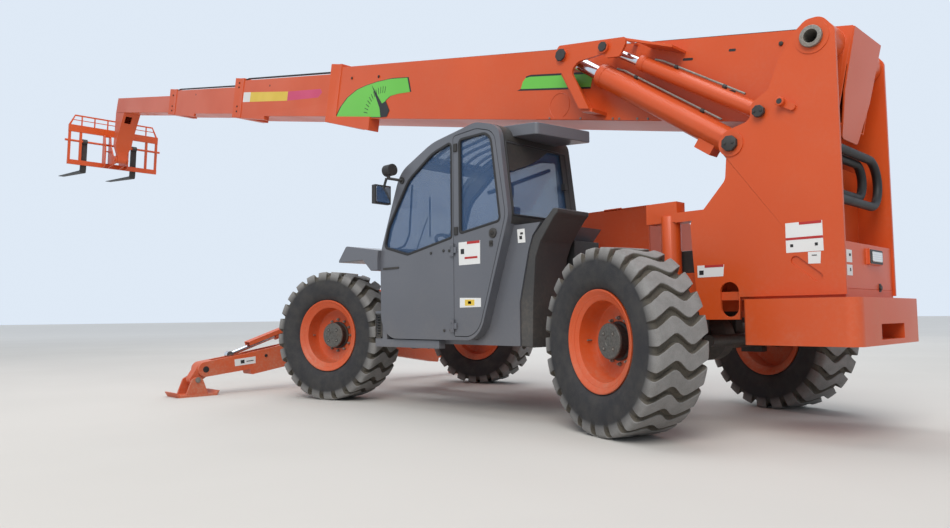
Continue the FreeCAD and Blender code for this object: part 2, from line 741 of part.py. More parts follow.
def boom_base():
    """Outer section with the pivot tube and the tail cover."""
    body = boom_section("boom_base")
    half = SECTIONS["boom_base"][0]
    rear = SECTIONS["boom_base"][4]
    end = PLATE_OUT - PLATE_T - SIDE_GAP
    pivot = rod((0, -end, 0), (0, end, 0), BOOM_TUBE_R)
    cover = [
        (-half, 125), (-half + 20, -300), (-150, TAIL_LOW, 40),
        (150, TAIL_LOW, 40), (half - 20, -300), (half, 125),
    ]
    tail = prism(cover, rear - TAIL_T, rear, "yz")
    body = fuse([body, pivot, tail])
    return on_boom(body.cut(rod((0, -end - 5, 0), (0, end + 5, 0), BOOM_PIN_R + PIN_GAP)))


def boom_bracket():
    """Left bracket on the outer section that holds both rods' pins."""
    low = SECTIONS["boom_base"][0]
    inner = PLATE_OUT - PLATE_T
    plate = prism([
        (2275, 20, 30), (2235, 90, 30), (1530, 118, 20), (1520, 60, 40), (1560, -40, 30), (1690, -45),
        (1740, -10, 60), (1990, -60, 80), (2060, -140, 60), (1800, -470), (1905, -470, 40), (2255, -40, 60),
    ], inner, PLATE_OUT)
    front = prism([(2168, -170), (2190, -155), (1925, -470), (1900, -470)], low, inner)
    flange = prism([(1600, 118), (1560, 118), (1090, 30), (1090, 10), (1545, 95)], low, inner)
    caps = []
    for s, u in (LIFT_EYE, LEVEL_EYE):
        caps.append(rod((s, PLATE_OUT, u), (s, PLATE_OUT + 24, u), 52))
    foot = box(1780, 1905, low, inner, -490, -462)
    notch = box(*LEVEL_NOTCH, low - 1, inner - 30, 0, 140)
    return on_boom(fuse([plate, front, flange.cut(notch), foot] + caps))


def boom_brackets():
    """Both brackets."""
    left = boom_bracket()
    return Part.makeCompound([left, mirrored(left)])


def boom_head():
    """Goose-neck welded to the end of the inner section, tapering to the carriage's pin."""
    top, bottom = SECTIONS["boom_4"][1:3]
    front = SECTIONS["boom_4"][5]
    ps, pu = HEAD_PIVOT
    neck = prism([
        (front - 460, bottom - 1), (front, bottom - 1), (front, top - 5), (front + 32, top - 35, 15),
        (front + 84, bottom - 5, 200), (front + 62, -950), (ps + 70, pu), (ps - 72, pu), (ps - 55, -1240),
        (front - 160, -950), (front - 310, -690),
    ], -HEAD_HALF, HEAD_HALF)
    boss = rod((ps, -HEAD_HALF, pu), (ps, HEAD_HALF, pu), HEAD_BOSS_R)
    neck = fuse([neck, boss])
    for side in (-1, 1):
        wide, foot, beyond = side * HEAD_HALF, side * HEAD_FOOT_HALF, side * (HEAD_HALF + 50)
        taper = [(wide, HEAD_TAPER), (foot, pu + 120), (foot, pu - 200),
                 (beyond, pu - 200), (beyond, HEAD_TAPER)]
        neck = neck.cut(prism(taper, ps - 400, ps + 400, "yz"))
    hollow = [
        (front - 400, bottom - 25), (front - 20, bottom - 25), (front + 40, -900), (front, -1120),
        (front - 100, -1120), (front - 135, -950), (front - 285, -690),
    ]
    inside = prism(hollow, -HEAD_HALF + HEAD_WALL, HEAD_HALF - HEAD_WALL)
    window = box(front - 560, front - 160, -20, 110, -645, -500)
    bore = rod((ps, -HEAD_HALF - 10, pu), (ps, HEAD_HALF + 10, pu), HEAD_PIN_R + PIN_GAP)
    return on_boom(neck.cut(inside).cut(window).cut(bore))


def carriage():
    """Fork carriage: rails, uprights, coupler and the load guard, built about its pivot."""
    x0, x1 = CARRIAGE_AHEAD, CARRIAGE_AHEAD + CARRIAGE_T
    half = CARRIAGE_HALF
    pieces = [
        box(x0, x1, -half, half, CARRIAGE_LOW, CARRIAGE_LOW + LOW_RAIL_H),
        box(x0, x1, -half, half, CARRIAGE_TOP - TOP_RAIL_H, CARRIAGE_TOP),
    ]
    for y in (-half, -UPRIGHT_Y - 50, UPRIGHT_Y, half - 50):
        pieces.append(box(x0 + 10, x1 - 10, y, y + 50, CARRIAGE_LOW, CARRIAGE_TOP))
    top = CARRIAGE_TOP - TOP_RAIL_H + 10
    cheek_in = HEAD_FOOT_HALF + SIDE_GAP
    cheek_out = cheek_in + CHEEK_T
    cheek_side = [
        (-75, -75, 60), (x0 + 10, CARRIAGE_LOW), (x0 + 10, top), (x0 - 90, top, 40), (x0 - 150, 330, 80),
        (140, 90, 60), (-75, 75, 60),
    ]
    coupler_side = [
        (x0 - 190, CARRIAGE_LOW + 20, 40), (x0 + 10, CARRIAGE_LOW), (x0 + 10, top), (x0 - 90, top, 40),
        (x0 - 190, 250, 80),
    ]
    for side in (-1, 1):
        y0, y1 = sorted((side * cheek_in, side * cheek_out))
        pieces.append(prism(cheek_side, y0, y1))
        y0, y1 = sorted((side * COUPLER_Y[0], side * COUPLER_Y[1]))
        pieces.append(prism(coupler_side, y0, y1))
        y0, y1 = sorted((side * cheek_in, side * COUPLER_Y[1]))
        for z in (CARRIAGE_LOW + 40, 200, top - 40):
            pieces.append(box(x0 - 70, x0 + 10, y0, y1, z, z + 20))
    bar = GUARD_T
    guard_half = half - 120
    for y in GUARD_BARS:
        pieces.append(box(x1 - bar, x1, y, y + bar, CARRIAGE_TOP - 60, GUARD_TOP))
        pieces.append(box(x1 - bar, x1, -y - bar, -y, CARRIAGE_TOP - 60, GUARD_TOP))
    middle = (CARRIAGE_TOP + GUARD_TOP) / 2
    pieces.append(box(x1 - bar + 4, x1 - 4, -half + 60, half - 60, middle - 8, middle + 8))
    pieces.append(box(x1 - bar, x1, -guard_half, guard_half, GUARD_TOP - 30, GUARD_TOP))
    for side in (-1, 1):
        slope = [(side * half, CARRIAGE_TOP - 10), (side * (half - 40), CARRIAGE_TOP - 10),
                 (side * (guard_half - 20), GUARD_TOP), (side * guard_half, GUARD_TOP)]
        pieces.append(prism(slope, x1 - bar, x1, "yz"))
    reach = cheek_in + 40
    pin = rod((0, -reach, 0), (0, reach, 0), HEAD_PIN_R)
    shaft = rod((x0 + 30, -half - 60, FORK_SHAFT_Z), (x0 + 30, half + 60, FORK_SHAFT_Z), FORK_SHAFT_R)
    return fuse(pieces + [pin, shaft])


def forks():
    """Two L-shaped forks hung from the carriage's shaft."""
    x = CARRIAGE_AHEAD + CARRIAGE_T + 2
    shaft_x = CARRIAGE_AHEAD + 30
    shaft_z = FORK_SHAFT_Z
    low = FORK_HEEL
    shank_side = [
        (x, shaft_z + 60), (x, low + 70), (x + 20, low, 30), (x + 60, low), (x + FORK_LENGTH, low + 30),
        (x + FORK_LENGTH, low + 42), (x + FORK_T + 20, low + FORK_T), (x + FORK_T, low + FORK_T + 30),
        (x + FORK_T, shaft_z + 60),
    ]
    solids = []
    for y in FORK_Y:
        y0, y1 = y - FORK_W / 2, y + FORK_W / 2
        shank = prism(shank_side, y0, y1)
        eye = rod((shaft_x, y0 + 15, shaft_z), (shaft_x, y1 - 15, shaft_z), FORK_SHAFT_R + 20)
        bridge = box(shaft_x, x + 20, y0 + 15, y1 - 15, shaft_z - 20, shaft_z + 42)
        solid = fuse([shank, eye, bridge])
        bore = rod((shaft_x, y0 - 5, shaft_z), (shaft_x, y1 + 5, shaft_z), FORK_SHAFT_R + PIN_GAP)
        solids.append(solid.cut(bore))
    return Part.makeCompound(solids)


def at_head(shape):
    """From the carriage's pivot to the machine."""
    x, z = boom_point(*HEAD_PIVOT)
    tilted = shape.rotated(V(0, 0, 0), V(0, -1, 0), CARRIAGE_TILT)
    return tilted.translated(V(x, 0, z))


# Cylinders beside the boom

def cylinder_line(foot, eye):
    """Foot, direction and length of a cylinder between its two pins."""
    ex, ez = boom_point(*eye)
    a = V(foot[0], CYLINDER_Y, foot[1])
    b = V(ex, CYLINDER_Y, ez)
    direction = b - a
    length = direction.Length
    direction.normalize()
    return a, direction, length


def barrel(foot, eye, radius, rod_radius, length, pin_radius, half_eye, foot_eye, port=False):
    """Cylinder barrel with its foot eye, bored for the rod, and a port block below if asked."""
    a, direction = cylinder_line(foot, eye)[:2]
    body = Part.makeCylinder(radius, length - foot_eye * 0.5, a + direction * foot_eye * 0.5, direction)
    gland = Part.makeCylinder(radius + 4, 60, a + direction * (length - 60), direction)
    ring = rod((a.x, CYLINDER_Y - half_eye, a.z), (a.x, CYLINDER_Y + half_eye, a.z), foot_eye)
    whole = fuse([body, gland, ring])
    if port:
        slope = math.degrees(math.atan2(direction.z, direction.x))
        block = box(*PORT_BLOCK, -radius - 55, -radius + 30).rotated(V(0, 0, 0), V(0, -1, 0), slope)
        whole = whole.fuse(block.translated(a)).removeSplitter()
    bore = Part.makeCylinder(rod_radius + PIN_GAP, length, a + direction * (foot_eye + 70), direction)
    reach = half_eye + 5
    pin = rod((a.x, CYLINDER_Y - reach, a.z), (a.x, CYLINDER_Y + reach, a.z), pin_radius + PIN_GAP)
    return whole.cut(bore).cut(pin)


def lift_barrel():
    """Barrel of the left lift cylinder."""
    return barrel(LIFT_FOOT, LIFT_EYE, LIFT_R, LIFT_ROD_R, LIFT_BARREL, LIFT_PIN_R, 92, 98, port=True)


def level_barrel():
    """Barrel of the left levelling cylinder."""
    return barrel(LEVEL_FOOT, LEVEL_EYE, LEVEL_R, LEVEL_ROD_R, LEVEL_BARREL, LEVEL_PIN_R, 55, 62)


def piston_rod(foot, eye, rod_radius, start, eye_radius, half_eye):
    """Chrome rod with its eye, which sits free between the bracket's plates."""
    a, direction, length = cylinder_line(foot, eye)
    shaft = Part.makeCylinder(rod_radius, length - start, a + direction * start, direction)
    end = a + direction * length
    ring = rod((end.x, CYLINDER_Y - half_eye, end.z), (end.x, CYLINDER_Y + half_eye, end.z), eye_radius)
    return fuse([shaft, ring])


def both(shape):
    """A piece and its mirror image."""
    return Part.makeCompound([shape, mirrored(shape)])


# Cab

def inset_prism(points, inset, y0, y1):
    """The outline drawn in by inset, then thickened along Y."""
    wire = outline(points)
    if inset:
        wire = wire.makeOffset2D(-inset)
    solid = Part.Face(wire).extrude(V(0, 0, y1 - y0))
    return solid.rotated(V(0, 0, 0), V(1, 0, 0), 90).translated(V(0, y1, 0))


def roof_space(gap):
    """Space of the roof slab, grown by gap."""
    plan = Part.Face(outline(ROOF_PLAN).makeOffset2D(gap) if gap else outline(ROOF_PLAN))
    slab = plan.extrude(V(0, 0, 400)).translated(V(0, 0, 2200))
    return slab.common(inset_prism(ROOF_SIDE, -gap, 400, 1200))


def cab_hull():
    """Cab as a hollow box, before windows and door are cut, with room for the roof slab."""
    outer = prism(CAB_OUTLINE, CAB_IN, CAB_OUT)
    inner = inset_prism(CAB_OUTLINE, CAB_WALL, CAB_IN + CAB_WALL, CAB_OUT - CAB_WALL)
    return outer.cut(inner).cut(roof_space(SEAT_GAP))


def cab_shell():
    """Cab walls, floor and top frame, open at the windows and the doorway."""
    hull = cab_hull()
    hull = hull.cut(prism(FRONT_WINDOW, CAB_OUT - 100, CAB_OUT + 50))
    hull = hull.cut(prism(RIGHT_WINDOW, CAB_IN - 20, CAB_IN + CAB_WALL + 20))
    for opening in SKIN_WINDOWS:
        hull = hull.cut(box(*opening))
    hull = hull.cut(inset_prism(DOOR_OUTLINE, -PANEL_GAP, CAB_OUT - 100, CAB_OUT + 50))
    x, y = DOOR_FRONT, CAB_OUT + HINGE_OFF
    for z in HINGE_Z:
        hull = hull.fuse(rod((x, y, z - HINGE_END), (x, y, z + HINGE_END), HINGE_PIN_R))
        for low, high in ((z + HINGE_HALF + 1, z + HINGE_END), (z - HINGE_END, z - HINGE_HALF - 1)):
            hull = hull.fuse(rod((x, y, low), (x, y, high), HINGE_R))
            hull = hull.fuse(box(x, x + HINGE_WEB, CAB_OUT - 1, y, low, high))
    for y in ROOF_BARS:
        end = y + ROOF_BAR_W
        rail = box(1450, 2180, y, end, 2200, 2600)
        under_glass = inset_prism(CAB_OUTLINE, GLASS_AT + GLASS_T + 2, y, end)
        rail = rail.common(under_glass).cut(inset_prism(CAB_OUTLINE, CAB_WALL, y, end))
        hull = hull.fuse(rail)
    return hull.removeSplitter()


def cab_door():
    """Door: the rear part of the left wall, as thick as the wall, hinged at its front edge."""
    panel = prism(DOOR_OUTLINE, CAB_OUT - CAB_WALL, CAB_OUT)
    panel = panel.cut(prism(DOOR_WINDOW, CAB_OUT - 100, CAB_OUT + 40))
    x, y = DOOR_FRONT, CAB_OUT + HINGE_OFF
    for z in HINGE_Z:
        low, high = z - HINGE_HALF, z + HINGE_HALF
        web = box(x - HINGE_WEB, x, CAB_OUT - 1, y, low, high)
        panel = panel.fuse([web, rod((x, y, low), (x, y, high), HINGE_R)])
        panel = panel.cut(rod((x, y, low - 5), (x, y, high + 5), HINGE_PIN_R + SEAT_GAP))
    return panel.removeSplitter()


def pane(window, y):
    """Flat glass in a side wall, a little smaller than its opening."""
    return inset_prism(window, SEAT_GAP, y, y + GLASS_T)


def skin_pane(opening):
    """Glass that follows the cab's outline across an opening of the front, top or back."""
    x0, x1, y0, y1, z0, z1 = opening
    gap = SEAT_GAP
    room = box(x0 + gap, x1 - gap, y0 + gap, y1 - gap, z0 + gap, z1 - gap)
    outer = inset_prism(CAB_OUTLINE, GLASS_AT, y0, y1)
    inner = inset_prism(CAB_OUTLINE, GLASS_AT + GLASS_T, y0, y1)
    return outer.cut(inner).common(room)


def cab_glass():
    """Front side window, right window, windscreen, roof window and back window."""
    panes = [pane(FRONT_WINDOW, CAB_OUT - GLASS_AT - GLASS_T), pane(RIGHT_WINDOW, CAB_IN + GLASS_AT)]
    for opening in SKIN_WINDOWS:
        panes.append(skin_pane(opening))
    return Part.makeCompound(panes)


def cab_roof():
    """Roof slab behind the arch, which overhangs to the rear."""
    return roof_space(0)


def cab_base():
    """Grey sheet box under and behind the cab, with the step panel ahead of it."""
    top = CAB_FLOOR_Z
    side_view = [
        (BASE_REAR, 600), (2830, 600), (2830, 900), (2740, 1290), (2700, 1290), (2660, top), (1480, top),
        (1200, 1572), (775, 1572), (860, 1475), (905, 1361), (BASE_REAR, 950),
    ]
    y0, y1 = CAB_IN, BASE_SIDE
    body = prism(side_view, y0, y1)
    hollow = [(BASE_REAR + SHEET, 600 + SHEET), (1330, 600 + SHEET), (1110, 1572 - SHEET),
              (BASE_REAR - 80, 1572 - SHEET), (BASE_REAR - 60, 1200), (BASE_REAR + SHEET, 1000)]
    body = body.cut(prism(hollow, y0 + SHEET, y1 - SHEET))
    skirt = box(1900, 2830, y1 - 1, CAB_OUT - 20, 560, top - 8)
    panel = box(2650, 2830, y1 - 1, CAB_OUT - 20, 600, 900)
    vent = box(2735, 2812, CAB_OUT - 50, CAB_OUT - 10, 655, 860)
    whole = fuse([body, skirt, panel]).cut(vent)
    return whole.cut(inset_prism(CAB_OUTLINE, -SEAT_GAP, y0 - 10, CAB_OUT + 10))


def cab_seat():
    """Driver's seat on its pedestal."""
    y = SEAT_Y
    pedestal = box(1600, 1860, y - 180, y + 180, CAB_FLOOR_Z + CAB_WALL + SEAT_GAP, 1050)
    cushion = box(1440, 1940, y - 240, y + 240, 1050, 1170)
    back = prism([(1440, 1170), (1560, 1170), (1480, 1820, 50), (1360, 1820, 50)], y - 230, y + 230)
    return fuse([pedestal, cushion, back])


def cab_controls():
    """Dash, steering column and wheel."""
    y = SEAT_Y
    floor = CAB_FLOOR_Z + CAB_WALL + SEAT_GAP
    dash = prism([(2250, floor), (2380, floor), (2500, 900), (2590, 1250, 60), (2380, 1330, 60)],
                 CAB_IN + 120, CAB_OUT - 120)
    column = rod((2380, y, 1250), (2180, y, 1520), 30)
    wheel = Part.makeTorus(185, 16, V(2180, y, 1520), V(-200, 0, 270))
    spoke = rod((2180 - 149, y, 1520 - 110), (2180 + 149, y, 1520 + 110), 11)
    return fuse([dash, column, spoke, wheel])


def mirrors():
    """Mirror on a bent arm and the round lamp above it, at the cab's left front."""
    y = CAB_OUT + SEAT_GAP
    x, z = MIRROR_FOOT
    foot = rod((x, y, z), (x, y + 10, z), 32)
    arm = rod((x, y + 9, z), MIRROR_ELBOW, MIRROR_BAR_R + 1)
    drop = rod(MIRROR_ELBOW, (2515, 1385, 2000), MIRROR_BAR_R)
    head = box(*MIRROR_HEAD)
    stem = rod((2470, 1340, 2130), (2470, 1340, 2200), MIRROR_BAR_R)
    lamp = rod(*LAMP_ENDS, LAMP_R)
    return fuse([foot, arm, drop, head, lamp, stem])


def front_fender():
    """Small grey fascia between the cab and the front wheel, seated on the cab's front."""
    side_view = [
        (2690, 1290), (2830, 1290), (2960, 1400), (3380, 1400), (3380, 1420), (3250, 1560, 40), (2690, 1480),
    ]
    body = prism(side_view, CAB_OUT - 500, CAB_OUT + 40)
    return body.cut(inset_prism(CAB_OUTLINE, -SEAT_GAP, 0, CAB_OUT + 50))


def rear_fender():
    """Dark fender ahead of the rear wheel, seated on the base's rear face."""
    side_view = [
        (612, 1632), (606, 1664), (655, 1672, 20), (860, 1475, 60), (905, 1361), (BASE_REAR, 950),
        (BASE_REAR, 600), (885, 589), (872, 967), (842, 1300), (790, 1420, 60), (650, 1600, 30),
    ]
    return prism(side_view, FENDER_IN, BASE_SIDE - 10)


def engine_block():
    """Engine as one plain block on the pod's floor, right of the rails."""
    return box(1150, 2350, -1100, -480, POD_LOW + SHEET, 1450)


def engine_pod():
    """Right side body open at the top, with a tall inner wall under the hood's hinge."""
    inner_y, rail_y = ENGINE_IN + SHEET, -RAIL_OUT - SHEET
    section = [
        (ENGINE_OUT, POD_LOW), (-RAIL_OUT, POD_LOW), (-RAIL_OUT, RAIL_TOP), (inner_y, RAIL_TOP),
        (inner_y, HOOD_LOW), (ENGINE_OUT, HOOD_LOW),
    ]
    hollow = [
        (ENGINE_OUT + SHEET, POD_LOW + SHEET), (rail_y, POD_LOW + SHEET), (rail_y, RAIL_TOP - SHEET),
        (ENGINE_IN, RAIL_TOP - SHEET), (ENGINE_IN, HOOD_LOW + 10), (ENGINE_OUT + SHEET, HOOD_LOW + 10),
    ]
    shell = prism(section, POD_REAR, HOOD_FRONT, "yz")
    shell = shell.cut(prism(hollow, POD_REAR + SHEET, HOOD_FRONT - SHEET, "yz"))
    wall_top = HOOD_TOP - SHEET - SEAT_GAP
    wall = box(HOOD_REAR, HOOD_FRONT, ENGINE_IN, inner_y, RAIL_TOP - SHEET, wall_top)
    return fuse([shell, wall])


def hood():
    """Engine hood: top, outer side and ends, open below, hinged on the pod's inner wall."""
    inner_y = ENGINE_IN + SHEET
    slope = HOOD_SLOPE
    section = [
        (inner_y, HOOD_LOW + 8), (ENGINE_OUT, HOOD_LOW + 8), (ENGINE_OUT, HOOD_TOP - slope, 90),
        (ENGINE_OUT + slope, HOOD_TOP, 90), (inner_y, HOOD_TOP),
    ]
    hollow = [
        (inner_y + 50, HOOD_LOW - 30), (ENGINE_OUT + SHEET, HOOD_LOW - 30),
        (ENGINE_OUT + SHEET, HOOD_TOP - slope - SHEET / 2, 80),
        (ENGINE_OUT + slope + SHEET / 2, HOOD_TOP - SHEET, 80), (inner_y + 50, HOOD_TOP - SHEET),
    ]
    solid = prism(section, HOOD_REAR, HOOD_FRONT, "yz")
    solid = solid.cut(prism(hollow, HOOD_REAR + SHEET, HOOD_FRONT - SHEET, "yz"))
    y0, y1 = ENGINE_IN - SIDE_GAP, inner_y + 10
    solid = solid.cut(box(HOOD_REAR - 10, HOOD_FRONT + 10, y0, y1, HOOD_LOW - 10, HOOD_TOP - SHEET))
    for x in (HOOD_REAR + 300, HOOD_FRONT - 500):
        solid = solid.fuse(rod((x, inner_y, HOOD_TOP), (x + 200, inner_y, HOOD_TOP), HOOD_HINGE_R))
    return solid.removeSplitter()


def driveline():
    """Gearbox between the rails with a shaft to each axle's nose."""
    rear = NOSE_REACH + SEAT_GAP
    front = WHEELBASE - NOSE_REACH - SEAT_GAP
    pieces = [box(*GEARBOX)]
    for start, end in ((rear, GEARBOX[0] + 1), (GEARBOX[1] - 1, front)):
        pieces.append(rod((start, 0, AXLE_Z), (end, 0, AXLE_Z), SHAFT_R))
    for start, end in ((rear, rear + 50), (front - 50, front)):
        pieces.append(rod((start, 0, AXLE_Z), (end, 0, AXLE_Z), SHAFT_R + 25))
    return fuse(pieces)


def lock_cylinder():
    """Upright cylinder that locks the rear axle, hung from a bracket on the tower plate."""
    x, y = LOCK_AT
    y0, y1 = y - 60, PLATE_OUT - PLATE_T
    pieces = [rod((x, y, LOCK_LOW), (x, y, LOCK_TOP), LOCK_R)]
    for x0, x1, z0, z1 in (LOCK_HEAD, LOCK_ARM):
        pieces.append(box(x0, x1, y0, y1, z0, z1))
    return fuse(pieces)


def hoses():
    """Two hoses looped between fittings on the left tower plate's inner face."""
    loops = []
    for x, middle, radius, turn in HOSE_LOOPS:
        start = PLATE_OUT - PLATE_T
        path = Part.Wire([
            Part.LineSegment(V(x, start, middle + radius), V(x, turn, middle + radius)).toShape(),
            Part.Arc(V(x, turn, middle + radius), V(x, turn - radius, middle),
                     V(x, turn, middle - radius)).toShape(),
            Part.LineSegment(V(x, turn, middle - radius), V(x, start, middle - radius)).toShape(),
        ])
        ring = Part.Wire([Part.makeCircle(HOSE_R, V(x, start, middle + radius), V(0, 1, 0))])
        hose = path.makePipeShell([ring], True, False)
        fittings = []
        for z in (middle - radius, middle + radius):
            fittings.append(rod((x, start, z), (x, start - 45, z), HOSE_R + 7))
        loops.append(fuse([hose] + fittings))
    return Part.makeCompound(loops)


def leg_arm():
    """Swing arm with its pivot, ankle lug and the slot for the cylinder's rod."""
    x0, x1 = LEG_X - LEG_HALF_X, LEG_X + LEG_HALF_X
    arm = link((*LEG_PIVOT, LEG_ROOT_R), (*LEG_TIP, LEG_TIP_R), x0, x1, "yz")
    sleeve = prism([(560, 340, 30), (1430, 195, 20), (1480, 445, 20), (560, 600, 30)], x0, x1, "yz")
    toe = link((*LEG_TIP, LEG_TIP_R), (*ANKLE, ANKLE_R), x0 + 40, x1 - 40, "yz")
    whole = fuse([arm, sleeve, toe])
    slot = prism([(900, 720), (900, 550), (1000, 520), (1560, 340), (1700, 305), (1880, 305), (1880, 720)],
                 LEG_X - LEG_SLOT_HALF, LEG_X + LEG_SLOT_HALF, "yz")
    pivot = rod((x0 - 5, *LEG_PIVOT), (x1 + 5, *LEG_PIVOT), LEG_PIN_R + PIN_GAP)
    ankle = rod((x0 - 5, *ANKLE), (x1 + 5, *ANKLE), ANKLE_PIN_R + PIN_GAP)
    return whole.cut(slot).cut(pivot).cut(ankle)


def leg_foot():
    """Foot pad with ears and the ankle pin."""
    y, z = ANKLE
    half, rim_z = PAD_HALF_Y, PAD_T + 30
    pad = [
        (y - half - 30, rim_z), (y - half, 0), (y + half, 0), (y + half + 30, rim_z),
        (y + half + 10, rim_z), (y + half - 10, PAD_T), (y - half + 10, PAD_T), (y - half - 10, rim_z),
    ]
    ear = [(y - 120, PAD_T), (y + 120, PAD_T), (y + 55, z + 20, 50), (y - 55, z + 20, 50)]
    pieces = [prism(pad, LEG_X - PAD_HALF_X, LEG_X + PAD_HALF_X, "yz")]
    inner = LEG_HALF_X + SIDE_GAP
    for side in (-1, 1):
        x0, x1 = sorted((LEG_X + side * inner, LEG_X + side * (inner + EAR_T)))
        pieces.append(prism(ear, x0, x1, "yz"))
    reach = inner + EAR_T + 10
    pieces.append(rod((LEG_X - reach, y, z), (LEG_X + reach, y, z), ANKLE_PIN_R))
    return fuse(pieces)


def leg_line():
    """Foot, eye and direction of the outrigger's cylinder."""
    a = V(LEG_X, *LEG_CYL_FOOT)
    b = V(LEG_X, *LEG_CYL_EYE)
    direction = b - a
    direction.normalize()
    return a, b, direction


def leg_barrel():
    """Outrigger cylinder's barrel, pinned to the frame, with the long sheet guard over it."""
    a, _, direction = leg_line()
    body = Part.makeCylinder(LEG_CYL_R, LEG_CYL_BARREL, a, direction)
    half = LEG_GUARD_HALF
    ring = rod((LEG_X - half, a.y, a.z), (LEG_X + half, a.y, a.z), LEG_CYL_R + 10)
    bore = Part.makeCylinder(LEG_CYL_ROD_R + PIN_GAP, LEG_CYL_BARREL, a + direction * 120, direction)
    pin = rod((LEG_X - half - 5, a.y, a.z), (LEG_X + half + 5, a.y, a.z), LEG_PIN_R + PIN_GAP)
    slope = math.degrees(math.atan2(direction.z, direction.y))
    cover = box(LEG_X - half, LEG_X + half, 110, LEG_GUARD_END, 15, half)
    inner = half - LEG_GUARD_T
    cover = cover.cut(box(LEG_X - inner, LEG_X + inner, 100, LEG_GUARD_END + 10, 0, inner))
    webs = [box(LEG_X - half, LEG_X + half, y, y + 30, 15, half) for y in (110, LEG_CYL_BARREL - 40)]
    cover = fuse([cover] + webs).rotated(V(0, 0, 0), V(1, 0, 0), slope).translated(V(0, a.y, a.z))
    return fuse([body, ring, cover]).cut(bore).cut(pin)


def leg_rod():
    """Outrigger cylinder's rod with its eye, free in the arm's slot."""
    a, b, direction = leg_line()
    length = (b - a).Length
    start = LEG_CYL_ROD_IN
    shaft = Part.makeCylinder(LEG_CYL_ROD_R, length - start, a + direction * start, direction)
    ring = rod((LEG_X - 35, b.y, b.z), (LEG_X + 35, b.y, b.z), LEG_CYL_EYE_R)
    return fuse([shaft, ring])


def nodes():
    """Every sub-part by name, in the datum frame."""
    out = {
        "frame": frame(),
        "leg_pins": leg_pins(),
        "tower": tower(),
        "counterweight": counterweight(),
        "rear_box": rear_box(),
        "boom_pin": boom_pin(),
        "foot_pins": foot_pins(),
        "cab_shell": cab_shell(),
        "cab_glass": cab_glass(),
        "cab_door": cab_door(),
        "cab_door_glass": pane(DOOR_WINDOW, CAB_OUT - GLASS_AT - GLASS_T),
        "cab_roof": cab_roof(),
        "cab_base": cab_base(),
        "cab_seat": cab_seat(),
        "cab_controls": cab_controls(),
        "mirrors": mirrors(),
        "front_fender": front_fender(),
        "rear_fender": rear_fender(),
        "engine_block": engine_block(),
        "engine_pod": engine_pod(),
        "hood": hood(),
        "lock_cylinder": lock_cylinder(),
        "driveline": driveline(),
        "hoses": hoses(),
        "axle_front": axle(WHEELBASE, 1),
        "axle_rear": axle(0, -1, True),
        "boom_base": boom_base(),
        "boom_brackets": boom_brackets(),
        "boom_2": on_boom(boom_section("boom_2").removeSplitter()),
        "boom_3": on_boom(boom_section("boom_3").removeSplitter()),
        "boom_4": on_boom(boom_section("boom_4").removeSplitter()),
        "boom_head": boom_head(),
        "carriage": at_head(carriage()),
        "forks": at_head(forks()),
        "lift_barrels": both(lift_barrel()),
        "lift_rods": both(piston_rod(LIFT_FOOT, LIFT_EYE, LIFT_ROD_R, LIFT_ROD_IN, LIFT_EYE_R, 90)),
        "level_barrels": both(level_barrel()),
        "level_rods": both(piston_rod(LEVEL_FOOT, LEVEL_EYE, LEVEL_ROD_R, LEVEL_ROD_IN, LEVEL_EYE_R, 50)),
    }
    # corner, axle, side, rest steering
    corners = (("front_left", WHEELBASE, 1, STEER_FRONT), ("front_right", WHEELBASE, -1, STEER_FRONT),
               ("rear_left", 0, 1, STEER_REAR), ("rear_right", 0, -1, STEER_REAR))
    for corner, axle_x, side, steer in corners:
        out["knuckle_" + corner] = at_wheel(knuckle(), axle_x, side, steer)
        out["rim_" + corner] = at_wheel(rim(), axle_x, side, steer)
        out["tyre_" + corner] = at_wheel(tyre(), axle_x, side, steer)
    legs = {"arm": leg_arm(), "foot": leg_foot(), "barrel": leg_barrel(), "rod": leg_rod()}
    for name, shape in legs.items():
        out["leg_" + name + "_left"] = shape
        out["leg_" + name + "_right"] = mirrored(shape)
    return out


def main():
    """Write each node, moved so that the origin is the middle of the footprint."""
    os.makedirs("parts", exist_ok=True)
    made = nodes()
    whole = Part.makeCompound(list(made.values()))
    bounds = whole.optimalBoundingBox(True, False)
    shift = V(-(bounds.XMin + bounds.XMax) / 2, 0, 0)
    print("shift", shift.x, "size", bounds.XLength, bounds.YLength, bounds.ZLength)
    for name, shape in made.items():
        moved = shape.translated(shift)
        moved.exportStep("parts/" + name + ".step")
        solids = moved.Solids
        print(name, len(solids), round(moved.Volume / 1e9, 5), moved.isValid())


main()
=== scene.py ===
# %% [markdown]
# # A telescopic handler, dressed around its solid model
#
# The solid model already holds every piece at its real size and every joint.
# This lesson gives it its looks: painted sheet metal, dusty rubber, tinted glass, chrome rods,
# and the forms that are too fine for the solids, such as the tyres' lugs, window seals and bolts.
# All lengths are metres. +X is forward, +Y is the driver's left and +Z is up.

import json
import math

